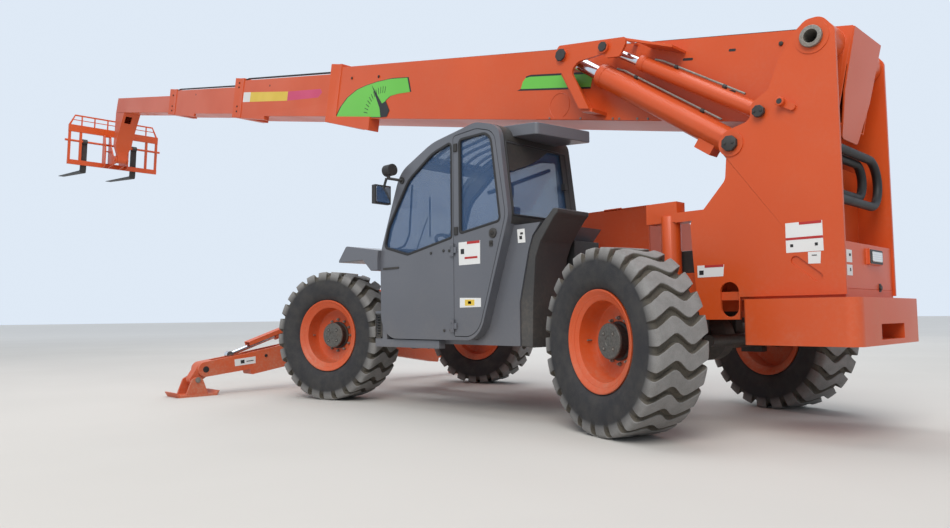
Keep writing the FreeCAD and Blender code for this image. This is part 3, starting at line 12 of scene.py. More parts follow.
import bmesh
import bpy
import numpy as np
from mathutils import Matrix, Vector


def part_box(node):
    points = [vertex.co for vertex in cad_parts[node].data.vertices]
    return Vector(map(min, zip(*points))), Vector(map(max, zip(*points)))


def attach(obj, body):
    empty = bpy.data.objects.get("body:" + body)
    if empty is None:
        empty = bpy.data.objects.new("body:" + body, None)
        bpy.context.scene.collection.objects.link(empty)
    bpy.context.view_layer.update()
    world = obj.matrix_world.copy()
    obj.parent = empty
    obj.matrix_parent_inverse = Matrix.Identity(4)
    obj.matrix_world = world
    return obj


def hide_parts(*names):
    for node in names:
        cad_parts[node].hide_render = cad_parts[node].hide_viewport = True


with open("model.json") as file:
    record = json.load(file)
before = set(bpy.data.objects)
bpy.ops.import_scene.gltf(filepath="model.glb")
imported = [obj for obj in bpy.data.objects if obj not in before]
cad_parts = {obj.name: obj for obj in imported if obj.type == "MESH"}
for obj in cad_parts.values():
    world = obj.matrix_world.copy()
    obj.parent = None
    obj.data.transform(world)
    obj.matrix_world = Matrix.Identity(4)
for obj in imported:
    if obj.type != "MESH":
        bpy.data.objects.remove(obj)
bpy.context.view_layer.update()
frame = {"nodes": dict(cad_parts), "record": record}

# %% [markdown]
# The machine is easiest to describe from its rear axle, and the boom along its own axis.
# So places below are written from the ground point under the rear axle, along the boom or from a
# wheel's middle, and three small functions move them to where the solid model stands.

# %% Places
WEIGHT_REAR = -1.345
DATUM_X = float(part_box("counterweight")[0][0]) - WEIGHT_REAR
PIVOT = np.array([-1.0845, 0.0, 2.6905])
BOOM_ANGLE = math.radians(11.85)
WHEELBASE = 3.678
STEER = {"front": math.radians(16.8), "rear": math.radians(-17.5)}
KINGPIN_Y, KINGPIN_TO_WHEEL, AXLE_Z = 0.898, 0.253, 0.658
SIDES = {"left": 1, "right": -1}


def place(points):
    """Machine points, rows of x, y, z from the rear axle's ground point, in the model's frame."""
    return np.asarray(points, float) + np.array([DATUM_X, 0.0, 0.0])


def on_boom(points):
    """Boom points, rows of s along it, y across it and u above its pivot, in the model's frame."""
    s, y, u = np.asarray(points, float).T
    c, k = math.cos(BOOM_ANGLE), math.sin(BOOM_ANGLE)
    return place(np.stack([PIVOT[0] + s * c - u * k, y, PIVOT[2] + s * k + u * c], axis=1))


def at_wheel(points, end, side):
    """Wheel points, y outwards from the wheel's middle, at one of the four steered wheels."""
    x, y, z = np.asarray(points, float).T
    sign, turn = SIDES[side], STEER[end]
    y = sign * (y + KINGPIN_TO_WHEEL)
    turned_x = x * math.cos(turn) - y * math.sin(turn)
    turned_y = x * math.sin(turn) + y * math.cos(turn)
    axle_x = WHEELBASE if end == "front" else 0.0
    return place(np.stack([axle_x + turned_x, sign * KINGPIN_Y + turned_y, z + AXLE_Z], axis=1))


# %% [markdown]
# ## Shader maths that reads like maths
#
# A material is a graph, but a formula is easier to read than a list of links.
# The class below wraps a socket, so that an expression such as 0.3 + 0.2 * noise adds its Math nodes.

# %% A socket that can be added and multiplied
class Socket:
    """One output of a shader graph. Python's operators on it add Math nodes to the graph."""

    def __init__(self, graph, output):
        self.graph = graph
        self.output = output

    def maths(self, operation, first, second=None):
        values = {0: first} if second is None else {0: first, 1: second}
        return self.graph.node("ShaderNodeMath", {"operation": operation}, values)

    def __add__(self, other):
        return self.maths("ADD", self, other)

    def __sub__(self, other):
        return self.maths("SUBTRACT", self, other)

    def __rsub__(self, other):
        return self.maths("SUBTRACT", other, self)

    def __mul__(self, other):
        return self.maths("MULTIPLY", self, other)

    __radd__, __rmul__ = __add__, __mul__

    def step(self, low, high):
        """0 below low, 1 above high and a smooth rise between them. It falls where low is above high."""
        settings = {"interpolation_type": "SMOOTHSTEP"}
        return self.graph.node("ShaderNodeMapRange", settings, {"Value": self, "From Min": low, "From Max": high})

    def sine(self):
        return self.maths("SINE", self)


class Graph:
    """A material's graph around one Principled shader."""

    def __init__(self, name):
        self.material = bpy.data.materials.new(name)
        self.material.use_nodes = True
        self.tree = self.material.node_tree
        self.shader = self.tree.nodes["Principled BSDF"]
        texture = self.tree.nodes.new("ShaderNodeTexCoord")
        self.place = Socket(self, texture.outputs["Object"])

    def node(self, kind, settings=None, values=None, output=0):
        """A new node: its settings first, then the values or links of its sockets."""
        node = self.tree.nodes.new(kind)
        for key, value in (settings or {}).items():
            setattr(node, key, value)
        for key, value in (values or {}).items():
            self.feed(node.inputs[key], value)
        return Socket(self, node.outputs[output])

    def feed(self, target, value):
        if isinstance(value, Socket):
            self.tree.links.new(value.output, target)
        else:
            target.default_value = value

    def noise(self, scale, detail=3.0, roughness=0.55):
        values = {"Vector": self.place, "Scale": scale, "Detail": detail, "Roughness": roughness}
        return self.node("ShaderNodeTexNoise", {}, values)

    def axis(self, name):
        """One coordinate of the place on the piece: X, Y or Z."""
        return self.node("ShaderNodeSeparateXYZ", {}, {0: self.place}, "XYZ".index(name))

    def mix(self, factor, first, second):
        """A colour between two colours."""
        values = {0: factor, 6: rgba(first), 7: rgba(second)}
        return self.node("ShaderNodeMix", {"data_type": "RGBA"}, values, 2)

    def attribute(self, name):
        return self.node("ShaderNodeAttribute", {"attribute_name": name}, {}, "Fac")

    def bump(self, height, strength, distance):
        return self.node("ShaderNodeBump", {}, {"Height": height, "Strength": strength, "Distance": distance})

    def set(self, **sockets):
        """Values or links of the Principled shader's sockets, with _ for a blank in a name."""
        for key, value in sockets.items():
            self.feed(self.shader.inputs[key.replace("_", " ")], value)
        print("finish:", self.material.name)
        return self.material


def rgba(colour):
    """A colour of three numbers with its alpha, or a socket as it is."""
    if isinstance(colour, Socket) or len(colour) == 4:
        return colour
    return (*colour, 1.0)


def srgb(red, green, blue):
    """A colour given as it is seen on a screen, 0 to 255, as the linear light that shaders use."""
    values = np.array([red, green, blue]) / 255
    linear = np.where(values <= 0.04045, values / 12.92, ((values + 0.055) / 1.055) ** 2.4)
    return tuple(float(v) for v in linear)


# %% [markdown]
# ## Paint that has worked outdoors
#
# The machine stands in a stony yard. Its paint is gloss, but pale dust lies on it, more of it
# near the ground and in soft cloudy patches. An image texture would need unwrapped solids and
# would stretch, so noises on Object coordinates place the dust. One function makes such a paint in
# any colour, and a very faint bump gives the slight waviness of sprayed steel plate.

# %% Paints
DUST = srgb(176, 160, 138)


def dust_mask(g, top, amount):
    """How much dust lies on a place: most on the ground, little above top, broken up by two noises."""
    height = g.axis("Z").step(top, 0.0)
    clouds = g.noise(2.3, 4.0).step(0.35, 0.75)
    grit = g.noise(38.0).step(0.35, 0.8)
    return (0.25 + 0.75 * clouds) * (0.4 + 0.6 * grit) * (0.18 + 0.82 * height) * amount


def paint(name, colour, shade, rough, dust=0.45, top=1.3, coat=0.25):
    """Sprayed paint between colour and shade, with dust on its lower parts."""
    g = Graph(name)
    drift = g.noise(0.9, 2.0).step(0.3, 0.7)
    speckle = g.noise(240.0, 2.0).step(0.3, 0.7)
    base = g.mix(drift * 0.55 + speckle * 0.12, srgb(*colour), srgb(*shade))
    mask = dust_mask(g, top, dust)
    waves = g.noise(6.0, 2.0) + 0.25 * g.noise(90.0, 2.0)
    return g.set(
        Base_Color=g.mix(mask, base, DUST),
        Roughness=rough + 0.10 * drift + 0.45 * mask,
        Coat_Weight=coat - coat * mask,
        Coat_Roughness=0.18,
        Normal=g.bump(waves, 0.12, 0.006),
    )


ORANGE = paint("orange_paint", (212, 82, 22), (198, 72, 16), 0.36, coat=0.14)
ORANGE_LOW = paint("orange_paint_dusty", (210, 81, 24), (192, 69, 18), 0.42, dust=0.75, top=1.0, coat=0.10)
CAB_GREY = paint("cab_grey_paint", (96, 98, 105), (86, 89, 96), 0.33, dust=0.22)
FENDER = paint("fender_dark_paint", (60, 60, 61), (50, 51, 53), 0.55, dust=0.3, top=1.6, coat=0.0)
BLACK = paint("black_steel_paint", (44, 44, 44), (34, 34, 36), 0.5, dust=0.5, top=1.2, coat=0.05)
GREEN = paint("green_stripe", (108, 196, 72), (98, 184, 66), 0.4, dust=0.2, coat=0.1)
PLASTIC = paint("black_plastic", (40, 40, 41), (31, 31, 33), 0.6, dust=0.35, top=2.0, coat=0.0)


# %% [markdown]
# Hubs and bolts are castings: grainy, part metal and stained with rust. The cylinders' rods are
# chromed, and shine like mirrors between patches of oil. Grain is bump only, as no one sees it
# from the side.

# %% Castings and bare metal
def casting(name, colour, shade, rough, grain):
    """Rough cast iron with its grain and rust-brown stains."""
    g = Graph(name)
    lumps = g.noise(grain, 5.0, 0.65)
    stain = g.noise(3.5, 4.0).step(0.5, 0.75)
    base = g.mix(lumps.step(0.3, 0.7), srgb(*colour), srgb(*shade))
    return g.set(
        Base_Color=g.mix(stain * 0.5, base, srgb(112, 88, 68)),
        Roughness=rough + 0.2 * stain,
        Metallic=0.35,
        Normal=g.bump(lumps, 0.45, 0.004),
    )


def patchy(name, colour, other, patch, share, grain=None, **sockets):
    """A finish that drifts from colour to other in soft patches of a noise, by share at most.

    A socket is a number, or a pair: its value and what a patch adds. Grain is a bump's scale, strength and height."""
    g = Graph(name)
    scale, detail, low, high = patch
    mask = g.noise(scale, detail).step(low, high)
    if grain:
        sockets["Normal"] = g.bump(g.noise(grain[0]), *grain[1:])
    for key, value in sockets.items():
        if isinstance(value, tuple):
            sockets[key] = value[0] + value[1] * mask
    return g.set(Base_Color=g.mix(mask * share, colour, other), **sockets)


IRON = casting("grey_iron", (104, 103, 98), (78, 77, 74), 0.55, 60.0)
DARK_IRON = casting("dark_iron", (56, 54, 52), (38, 37, 37), 0.6, 45.0)
STEEL = casting("worn_steel", (150, 148, 142), (120, 116, 108), 0.42, 80.0)
CHROME = patchy("chrome", srgb(216, 220, 226), srgb(182, 184, 190), (14.0, 3.0, 0.4, 0.75), 0.4,
                Roughness=(0.08, 0.16), Metallic=1.0)


# %% [markdown]
# Tyre rubber is nearly black only where nothing touches it. The lugs' faces are ground pale
# by stones, and dust sits in the grooves. The lug's height at each vertex is stored on the mesh
# as an attribute, so that the wear follows the tread wherever the wheel turns. Seals and hoses are
# plain matt rubber. The panes are thin tinted sheets that still mirror the sky, with a little dust.

# %% Rubber and glass
def tyre_rubber():
    """Rubber that turns grey with lug height and brown with dust in the grooves."""
    g = Graph("tyre_rubber")
    scuff = g.noise(9.0, 5.0, 0.65).step(0.3, 0.75)
    grit = g.noise(150.0).step(0.35, 0.7)
    bare = g.mix(scuff * 0.8, srgb(40, 40, 43), srgb(68, 66, 64))
    worn = g.mix(scuff * 0.5 + grit * 0.3, srgb(139, 137, 135), srgb(112, 110, 107))
    dusty = g.mix(grit * 0.6, srgb(92, 86, 76), srgb(70, 66, 60))
    tread = g.mix(g.attribute("lug").step(0.75, 0.97), dusty, worn)
    return g.set(
        Base_Color=g.mix(g.attribute("wall"), tread, bare),
        Roughness=0.78 + 0.14 * scuff,
        Normal=g.bump(scuff * 0.5 + grit * 0.5, 0.3, 0.004),
    )


def lamp_glass(colour, ribs_per_metre):
    """Moulded lamp cover with fine ribs: a sine of the height. The ribs' crests are painted lighter, a painted
    highlight.
    """
    g = Graph("clear_lens")
    ribs = (g.axis("Z") * ribs_per_metre).sine()
    return g.set(
        # painted highlight: the ribs' crests are mixed towards white
        Base_Color=g.mix(ribs.step(-1.0, 1.0) * 0.3, colour, srgb(255, 255, 255)),
        Roughness=0.18 + 0.05 * ribs,
        Coat_Weight=0.6,
        Normal=g.bump(ribs, 0.4, 0.001),
    )


TYRE = tyre_rubber()
RUBBER = (srgb(60, 58, 55), (7.0, 3.0, 0.4, 0.8), 0.3, (180.0, 0.25, 0.0015))
SEAL = patchy("seal_rubber", srgb(34, 34, 36), *RUBBER, Roughness=(0.6, 0.15))
HOSE = patchy("hose_rubber", srgb(20, 20, 22), *RUBBER, Roughness=(0.55, 0.15))
GLASS = patchy("tinted_glass", srgb(66, 98, 140), srgb(150, 158, 160), (3.0, 4.0, 0.45, 0.8), 0.25,
               Roughness=(0.04, 0.10), Alpha=(0.40, 0.08))
LENS = lamp_glass(srgb(206, 212, 212), 420.0)


# %% [markdown]
# Labels are vinyl that has gone chalky in soft patches. The patches are larger than a label,
# since small ones would look like print. The seat's cover is vinyl too, with a pebbled grain.

# %% Plain labels and trim
def printed(name, *colour):
    """A blank vinyl label, slightly chalky with age."""
    fresh = srgb(*colour)
    return patchy(name, fresh, tuple(0.82 * c for c in fresh), (2.2, 2.0, 0.3, 0.7), 0.35, (60.0, 0.06, 0.001),
                  Roughness=(0.45, 0.12))


WHITE = printed("white_label", 228, 228, 226)
LABEL_RED = printed("red_label", 178, 42, 40)
LABEL_YELLOW = printed("yellow_label", 226, 192, 74)
LABEL_PINK = printed("pink_label", 206, 74, 112)
LABEL_BLACK = printed("black_label", 28, 28, 28)


def vinyl():
    """Seat cover: matt vinyl with a small pebbled grain."""
    g = Graph("seat_vinyl")
    cells = g.node("ShaderNodeTexVoronoi", {}, {"Vector": g.place, "Scale": 320.0})
    fade = g.noise(8.0).step(0.35, 0.75)
    return g.set(
        Base_Color=g.mix(fade * 0.5, srgb(40, 40, 42), srgb(58, 57, 56)),
        Roughness=0.62 + 0.1 * fade,
        Normal=g.bump(cells, 0.3, 0.0008),
    )


VINYL = vinyl()

# %% [markdown]
# The part's record has its own list of material slots. The table below lists most finishes above
# under one of them.

# %% Slots of the finishes
SLOT_OF = {}
for slot_name, finishes in {
    "orange_paint": (ORANGE, ORANGE_LOW, GREEN), "black_steel": (BLACK, DARK_IRON), "engine_iron": (IRON, STEEL),
    "rubber": (TYRE, SEAL), "hose_rubber": (HOSE,), "cab_plastic": (PLASTIC,), "seat_cover": (VINYL,),
    "chrome_rod": (CHROME,), "glass": (LENS,), "grey_paint": (WHITE,),
    "dark_paint": (LABEL_RED, LABEL_YELLOW, LABEL_PINK, LABEL_BLACK),
}.items():
    SLOT_OF.update({finish.name: slot_name for finish in finishes})
print("finishes:", len(SLOT_OF))

# %% [markdown]
# ## Surfaces from arrays
#
# Every new piece is a grid of points worked out with numpy, or a profile carried along a path.
# These few helpers turn such arrays into meshes. None of them loops over single vertices.
# A shape is a pair: its points, and its faces as lists of their numbers.

# %% Grids and pieces
def grid_faces(rows, columns, close_rows=False, close_columns=False):
    """Quads of a grid whose vertices run row by row, wrapped round in either direction."""
    i = np.arange(rows if close_rows else rows - 1)[:, None]
    j = np.arange(columns if close_columns else columns - 1)[None, :]
    next_i, next_j = (i + 1) % rows, (j + 1) % columns
    corners = [i * columns + j, i * columns + next_j, next_i * columns + next_j, next_i * columns + j]
    return np.stack([np.broadcast_to(c, (i.size, j.size)) for c in corners], axis=2).reshape(-1, 4)


def end_caps(points, count):
    """The first and the last ring of count points, each as one face."""
    return [list(range(count))[::-1], list(range(len(points) - count, len(points)))]


def joined(shapes):
    """One shape from several."""
    points, faces, start = [], [], 0
    for part_points, part_faces in shapes:
        points.append(np.asarray(part_points, float))
        faces.extend((np.asarray(face) + start).tolist() for face in part_faces)
        start += len(part_points)
    return np.concatenate(points), faces


def tidy_mesh(mesh, material, sharp=35.0):
    """Gives a mesh its material, and shades it smooth but for edges sharper than an angle in degrees."""
    mesh.polygons.foreach_set("use_smooth", np.ones(len(mesh.polygons), bool))
    mesh.set_sharp_from_angle(angle=math.radians(sharp))
    mesh.materials.clear()
    mesh.materials.append(material)


def new_object(name, mesh, bevel):
    """An object whose Bevel modifier rounds the edges sharper than 30 degrees, as on folded plate."""
    obj = bpy.data.objects.new(name, mesh)
    bpy.context.scene.collection.objects.link(obj)
    if bevel:
        modifier = obj.modifiers.new("edges", "BEVEL")
        modifier.width, modifier.segments = bevel, 2
        modifier.limit_method, modifier.angle_limit = "ANGLE", math.radians(30)
        modifier.harden_normals = True
        modifier.use_clamp_overlap = True
    return obj


def piece(name, shapes, material, body="chassis", at=place, slot=None, sharp=35.0, bevel=0.0, twin=False,
          stands_for=()):
    """A piece that rides on a body: one shape or a list, carried by at, with its mirror image if twin."""
    points, faces = joined(shapes) if isinstance(shapes, list) else shapes
    points = at(points)
    if twin:
        points, faces = joined([(points, faces), (points * [1, -1, 1], faces)])
    mesh = bpy.data.meshes.new(name)
    mesh.from_pydata(points.tolist(), [], [list(map(int, face)) for face in faces])
    work = bmesh.new()
    work.from_mesh(mesh)
    bmesh.ops.remove_doubles(work, verts=work.verts, dist=1e-6)
    bmesh.ops.recalc_face_normals(work, faces=work.faces)
    work.to_mesh(mesh)
    work.free()
    tidy_mesh(mesh, material, sharp)
    obj = new_object(name, mesh, bevel)
    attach(obj, body)
    slot or SLOT_OF[material.name]
    if stands_for:
        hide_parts(*stands_for)
    print(f"{name}: {len(mesh.polygons)} faces on {body}")
    return obj


# %% Outlines and paths
ARC_STEP, BEND_STEP = 0.35, 0.3


def rounded(points, step=ARC_STEP):
    """A closed 2-D outline whose corners (a, b, radius) are arcs of the given radius."""
    corners = [(*point[:2], point[2] if len(point) > 2 else 0.0) for point in points]
    result = []
    for k, (a, b, radius) in enumerate(corners):
        here = np.array([a, b])
        if not radius:
            result.append(here)
            continue
        before = np.array(corners[k - 1][:2]) - here
        after = np.array(corners[(k + 1) % len(corners)][:2]) - here
        before, after = before / np.hypot(*before), after / np.hypot(*after)
        half = math.acos(float(np.clip(before @ after, -1, 1))) / 2
        centre = here + (before + after) / np.hypot(*(before + after)) * radius / math.sin(half)
        start = here + before * radius / math.tan(half) - centre
        end = here + after * radius / math.tan(half) - centre
        sweep = math.pi - 2 * half
        turn = math.copysign(1.0, start[0] * end[1] - start[1] * end[0])
        angles = turn * np.linspace(0, sweep, max(3, int(sweep / step) + 2))
        cos, sin = np.cos(angles), np.sin(angles)
        result.extend(np.stack([start[0] * cos - start[1] * sin, start[0] * sin + start[1] * cos], axis=1) + centre)
    return np.array(result)


def box_outline(left, right, low, high, radius=0.0):
    """A rectangle's outline with rounded corners."""
    return rounded([(left, low, radius), (right, low, radius), (right, high, radius), (left, high, radius)])


def arc_points(centre, radius, start, end, count):
    """Points on an arc, its angles in degrees."""
    angle = np.radians(np.linspace(start, end, count))
    return np.stack([centre[0] + radius * np.cos(angle), centre[1] + radius * np.sin(angle)], axis=1)


def bend(corners, radius):
    """A 3-D path through corners, each rounded by a quadratic curve that starts and ends as an arc would."""
    corners = np.asarray(corners, float)
    path = [corners[0]]
    for before, here, after in zip(corners, corners[1:], corners[2:]):
        first, second = before - here, after - here
        length = min(np.linalg.norm(first), np.linalg.norm(second)) * 0.49
        first, second = first / np.linalg.norm(first), second / np.linalg.norm(second)
        half = math.acos(float(np.clip(first @ second, -1, 1))) / 2
        setback = min(radius / math.tan(half), length)
        t = np.linspace(0, 1, max(3, int((math.pi - 2 * half) / BEND_STEP) + 2))[:, None]
        start, end = here + first * setback, here + second * setback
        path.extend((1 - t) ** 2 * start + 2 * t * (1 - t) * here + t ** 2 * end)
    path.append(corners[-1])
    return np.array(path)


# %% Plates and turned shapes
def plate(outline, low, high, plane="xz"):
    """A flat outline thickened from low to high across its plane: xz along Y, yz along X, xy along Z."""
    order = {"xz": (0, 2, 1), "yz": (2, 0, 1), "xy": (0, 1, 2)}[plane]
    count = len(outline)
    points = np.concatenate([np.column_stack([outline, np.full(count, level)])[:, order] for level in (low, high)])
    return points, list(grid_faces(2, count, close_columns=True)) + end_caps(points, count)


def block(x, y, z):
    """A box between pairs of x, y and z."""
    return plate(np.array([(x[0], y[0]), (x[1], y[0]), (x[1], y[1]), (x[0], y[1])]), z[0], z[1], "xy")


def lathe(profile, turns, closed=False):
    """A ring or disc: profile rows (y, radius) turned about the Y axis. A closed profile ends where it starts."""
    y, r = np.asarray(profile, float).T
    angle = np.linspace(0, 2 * math.pi, turns, endpoint=False)[:, None]
    points = np.stack([r * np.cos(angle), np.broadcast_to(y, (turns, len(y))), r * np.sin(angle)], axis=2)
    return points.reshape(-1, 3), grid_faces(turns, len(y), close_rows=True, close_columns=closed)


# any direction that no path here runs along
ASKEW = [0.31, 0.17, 0.93]


def tube(path, radius, sides=12):
    """A round bar along a path of points: circles of the radius square to the path, carried without twist."""
    path = np.asarray(path, float)
    along = np.gradient(path, axis=0)
    along /= np.linalg.norm(along, axis=1)[:, None]
    start = np.cross(along[0], ASKEW)
    normals = [start / np.linalg.norm(start)]
    for direction in along[1:]:
        carried = normals[-1] - direction * (normals[-1] @ direction)
        normals.append(carried / np.linalg.norm(carried))
    normals = np.array(normals)
    across = np.cross(along, normals)
    radii = np.broadcast_to(np.asarray(radius, float), (len(path),))
    return rings(path, radii, normals[:, None, :], across[:, None, :], sides)


def rings(centres, radii, side, other, sides):
    """Circles c + r (cos t side + sin t other) round many centres, joined in a row and capped."""
    angle = np.linspace(0, 2 * math.pi, sides, endpoint=False)[None, :, None]
    points = centres[:, None, :] + radii[:, None, None] * (np.cos(angle) * side + np.sin(angle) * other)
    points = points.reshape(-1, 3)
    return points, list(grid_faces(len(centres), sides, close_columns=True)) + end_caps(points, sides)


def drum(start, end, profile, sides):
    """A turned piece between two points: profile rows (how far along from 0 to 1, radius)."""
    start, end = np.asarray(start, float), np.asarray(end, float)
    axis = (end - start) / np.linalg.norm(end - start)
    side = np.cross(axis, ASKEW)
    side /= np.linalg.norm(side)
    share, radii = np.asarray(profile, float).T
    return rings(start + share[:, None] * (end - start), radii, side, np.cross(axis, side), sides)


def button(x, y, z, reach, profile, sides=24):
    """A turned piece that stands out along Y from a point by reach."""
    return drum((x, y, z), (x, y + reach, z), profile, sides)


def bolts(centres, radius, height):
    """Hexagon heads of one size at many centres, standing out along Y."""
    profile = [(0.0, radius), (0.8, radius), (1.0, radius * 0.82)]
    return joined([button(*centre, height, profile, 6) for centre in centres])


# %% [markdown]
# ## Sheet metal edges
#
# No real plate has a knife edge. Most solids keep their shape here: a copy of the solid's mesh has
# its flat triangles merged back into whole faces, and a small bevel then catches the light along
# every corner. The solid's own triangles are loose, and share no edges that a bevel could round.

# %% Dress a solid with soft edges and paint
MERGE, FLAT = 2e-5, math.radians(0.8)
BODY_OF = {node: body for body, nodes in frame["record"]["behaviour"]["bodies"].items() for node in nodes}


def dress(node, material, bevel):
    """A copy of a node's mesh with merged faces, softened edges and a material, in the node's place."""
    mesh = bpy.data.meshes.new(node + "_skin")
    work = bmesh.new()
    work.from_mesh(frame["nodes"][node].data)
    bmesh.ops.remove_doubles(work, verts=work.verts, dist=MERGE)
    bmesh.ops.dissolve_degenerate(work, edges=work.edges, dist=MERGE / 2)
    bmesh.ops.dissolve_limit(work, angle_limit=FLAT, verts=work.verts, edges=work.edges)
    work.to_mesh(mesh)
    work.free()
    tidy_mesh(mesh, material)
    obj = new_object(node + "_skin", mesh, bevel)
    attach(obj, BODY_OF[node])
    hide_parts(node)


def finish_node(node, material):
    """A node that keeps its own mesh and gets a better material."""
    mesh = frame["nodes"][node].data
    mesh.materials.clear()
    mesh.materials.append(material)


# %% [markdown]
# ## Tyres
#
# The tyres carry wide wavy lugs that run right across the tread, as on rock-service loader tyres.
# The carcass is a turned profile. The lugs are not cut into it: the grid's own lines follow the
# wave, so a lug's wall is a crisp step between two grid lines and costs few faces.

# %% Tyre surface
LUGS, TREAD_HALF_WIDTH = 24, 0.19
# the side wall, which the lugs leave alone: y, radius
WALL_ROWS = np.array([(0.1655, 0.319), (0.164, 0.352), (0.176, 0.3725), (0.189, 0.382), (0.201, 0.398), (0.207, 0.412),
                      (0.2095, 0.416), (0.214, 0.436), (0.2195, 0.470), (0.221, 0.505), (0.2185, 0.540)])
# the tread: y and radius in the groove, y and radius at the lug's face, share of side wall
TREAD_ROWS = [
    (0.214, 0.562, 0.2155, 0.563, 1), (0.208, 0.578, 0.2195, 0.580, 0.6), (0.199, 0.596, 0.2185, 0.608, 0.2),
    (0.188, 0.607, 0.2125, 0.634, 0), (0.176, 0.612, 0.205, 0.6485, 0), (0.160, 0.616, 0.194, 0.6555, 0),
    (0.140, 0.619, 0.160, 0.6568, 0), (0.112, 0.621, 0.116, 0.6572, 0), (0.078, 0.622, 0.078, 0.6576, 0),
    (0.052, 0.6225, 0.052, 0.6578, 0), (0.026, 0.623, 0.026, 0.658, 0), (0.0, 0.623, 0.0, 0.658, 0),
]
TYRE_ROWS = np.concatenate([np.column_stack([WALL_ROWS, WALL_ROWS, np.ones(len(WALL_ROWS))]), TREAD_ROWS])
# where in one lug's pitch the grid lines run, and how high the lug stands there
LUG_LINES = np.array([(0.02, 0), (0.135, 0), (0.175, 0.9), (0.195, 1), (0.5, 1), (0.805, 1), (0.825, 0.9), (0.865, 0)])


def lug_wave(y):
    """How far a lug's line runs ahead, in pitches: a rounded zigzag over the tread's width.

    The formula is a sine of one and a half waves over the width, which grows towards the shoulders."""
    t = np.clip(y / TREAD_HALF_WIDTH, -1, 1)
    return -0.21 * np.sin(t * 1.5 * math.pi) * (1 + 0.25 * t ** 2)


def tyre_surface():
    """A tyre's shape and its vertex values: the groove's profile plus lug height times its outward step."""
    rows = np.concatenate([TYRE_ROWS, TYRE_ROWS[-2::-1] * [-1, 1, -1, 1, 1]])
    y0, r0, y1, r1, wall = rows.T[:, :, None]
    pitch = np.concatenate([k + LUG_LINES[:, 0] for k in range(LUGS)])
    height = np.tile(LUG_LINES[:, 1], LUGS)
    y, r = y0 + height * (y1 - y0), r0 + height * (r1 - r0)
    angle = 2 * math.pi / LUGS * (pitch + lug_wave(y0))
    points = np.stack([r * np.cos(angle), y, r * np.sin(angle)], axis=2).reshape(-1, 3)
    values = {"lug": np.broadcast_to(height, y.shape).ravel(), "wall": np.broadcast_to(wall, y.shape).ravel()}
    return (points, grid_faces(*y.shape, close_rows=True, close_columns=True)), values


def tyre(end, side):
    """One tyre, moulded ribs and all, in place of its plain solid."""
    shape, values = tyre_surface()
    obj = piece(f"tyre_tread_{end}_{side}", shape, TYRE, f"wheel_{end}_{side}", lambda p: at_wheel(p, end, side),
                sharp=32, stands_for=[f"tyre_{end}_{side}"])
    for name, value in values.items():
        layer = obj.data.attributes.new(name, "FLOAT", "POINT")
        layer.data.foreach_set("value", np.ascontiguousarray(value, dtype=np.float32))


# %% [markdown]
# The wheel is a deep dish: a curled flange, a cone that is lit as a bright ring, a long barrel and
# a flat disc far inside. The hub is a planetary drive: a round casting bolted to the disc by a ring of studs,
# with four plugs. Each plug sits on a black disc that is painted shade for its recess. All of it is round, so it is
# turned from profiles, and only the plugs and studs are set one by one.

# %% Wheel and hub
RIM_PROFILE = [
    (0.187, 0.364), (0.1895, 0.357), (0.187, 0.350), (0.181, 0.342), (0.170, 0.327), (0.158, 0.306), (0.151, 0.291),
    (0.146, 0.2855), (0.060, 0.281), (0.020, 0.276), (0.002, 0.266), (-0.004, 0.250), (-0.004, 0.118), (-0.030, 0.118),
    (-0.030, 0.252), (-0.045, 0.288), (-0.150, 0.295), (-0.172, 0.318), (-0.187, 0.348), (-0.187, 0.364),
    (-0.170, 0.3645), (-0.166, 0.352), (-0.1665, 0.3175), (0.1665, 0.3175), (0.166, 0.352), (0.170, 0.3645),
]
HUB_R, HUB_FACE, DISC = 0.127, 0.098, -0.004
DRUM_PROFILE = [(-0.075, 0.0), (-0.075, 0.112), (DISC, 0.116), (0.004, HUB_R + 0.012), (0.012, HUB_R + 0.012),
                (0.018, HUB_R - 0.004), (0.078, HUB_R - 0.004), (0.080, 0.0)]
FACE_PROFILE = [(0.0785, 0.0), (0.0785, HUB_R), (0.092, HUB_R), (HUB_FACE, HUB_R - 0.007), (HUB_FACE, 0.040),
                (0.093, 0.036), (0.093, 0.0)]


def circle_of(count, radius, y, start=0.0):
    """Places evenly round the wheel's axis."""
    angle = np.arange(count) * 2 * math.pi / count + start
    return np.stack([radius * np.cos(angle), np.full(count, y), radius * np.sin(angle)], axis=1)


def wheel(end, side):
    """Orange dish, dark drum, grey planetary face with four plugs on black discs of painted recess shade, studs and the
    valve.
    """
    def wheel_piece(name, shapes, material, **rest):
        piece(f"{name}_{end}_{side}", shapes, material, f"wheel_{end}_{side}", lambda p: at_wheel(p, end, side), **rest)

    wheel_piece("wheel_dish", lathe(RIM_PROFILE, 96, closed=True), ORANGE_LOW, sharp=28,
                stands_for=[f"rim_{end}_{side}"])
    wheel_piece("hub_drum", lathe(DRUM_PROFILE, 48), DARK_IRON, sharp=30)
    wheel_piece("hub_face", lathe(FACE_PROFILE, 48), IRON, sharp=30)
    plugs = circle_of(4, 0.075, HUB_FACE - 0.001, math.pi / 4)
    # painted shade: the black discs under the plug heads stand for the dark of their recesses
    wheel_piece("hub_plug_recess_shade", [button(*c, 0.0022, [(0, 0.019), (1, 0.017)], 16) for c in plugs], BLACK)
    studs = circle_of(12, 0.163, DISC)
    valve = tube([(0.285, 0.03, 0.0), (0.270, 0.06, 0.0), (0.268, 0.085, 0.0)], 0.006, 8)
    ends = [button(x, y + 0.018, z, 0.012, [(0, 0.0085), (1, 0.0075)], 8) for x, y, z in studs]
    heads = [button(x, y + 0.001, z, 0.005, [(0, 0.009), (1, 0.008)], 6) for x, y, z in plugs]
    wheel_piece("hub_studs", [bolts(studs, 0.0145, 0.018), valve] + ends + heads, STEEL)


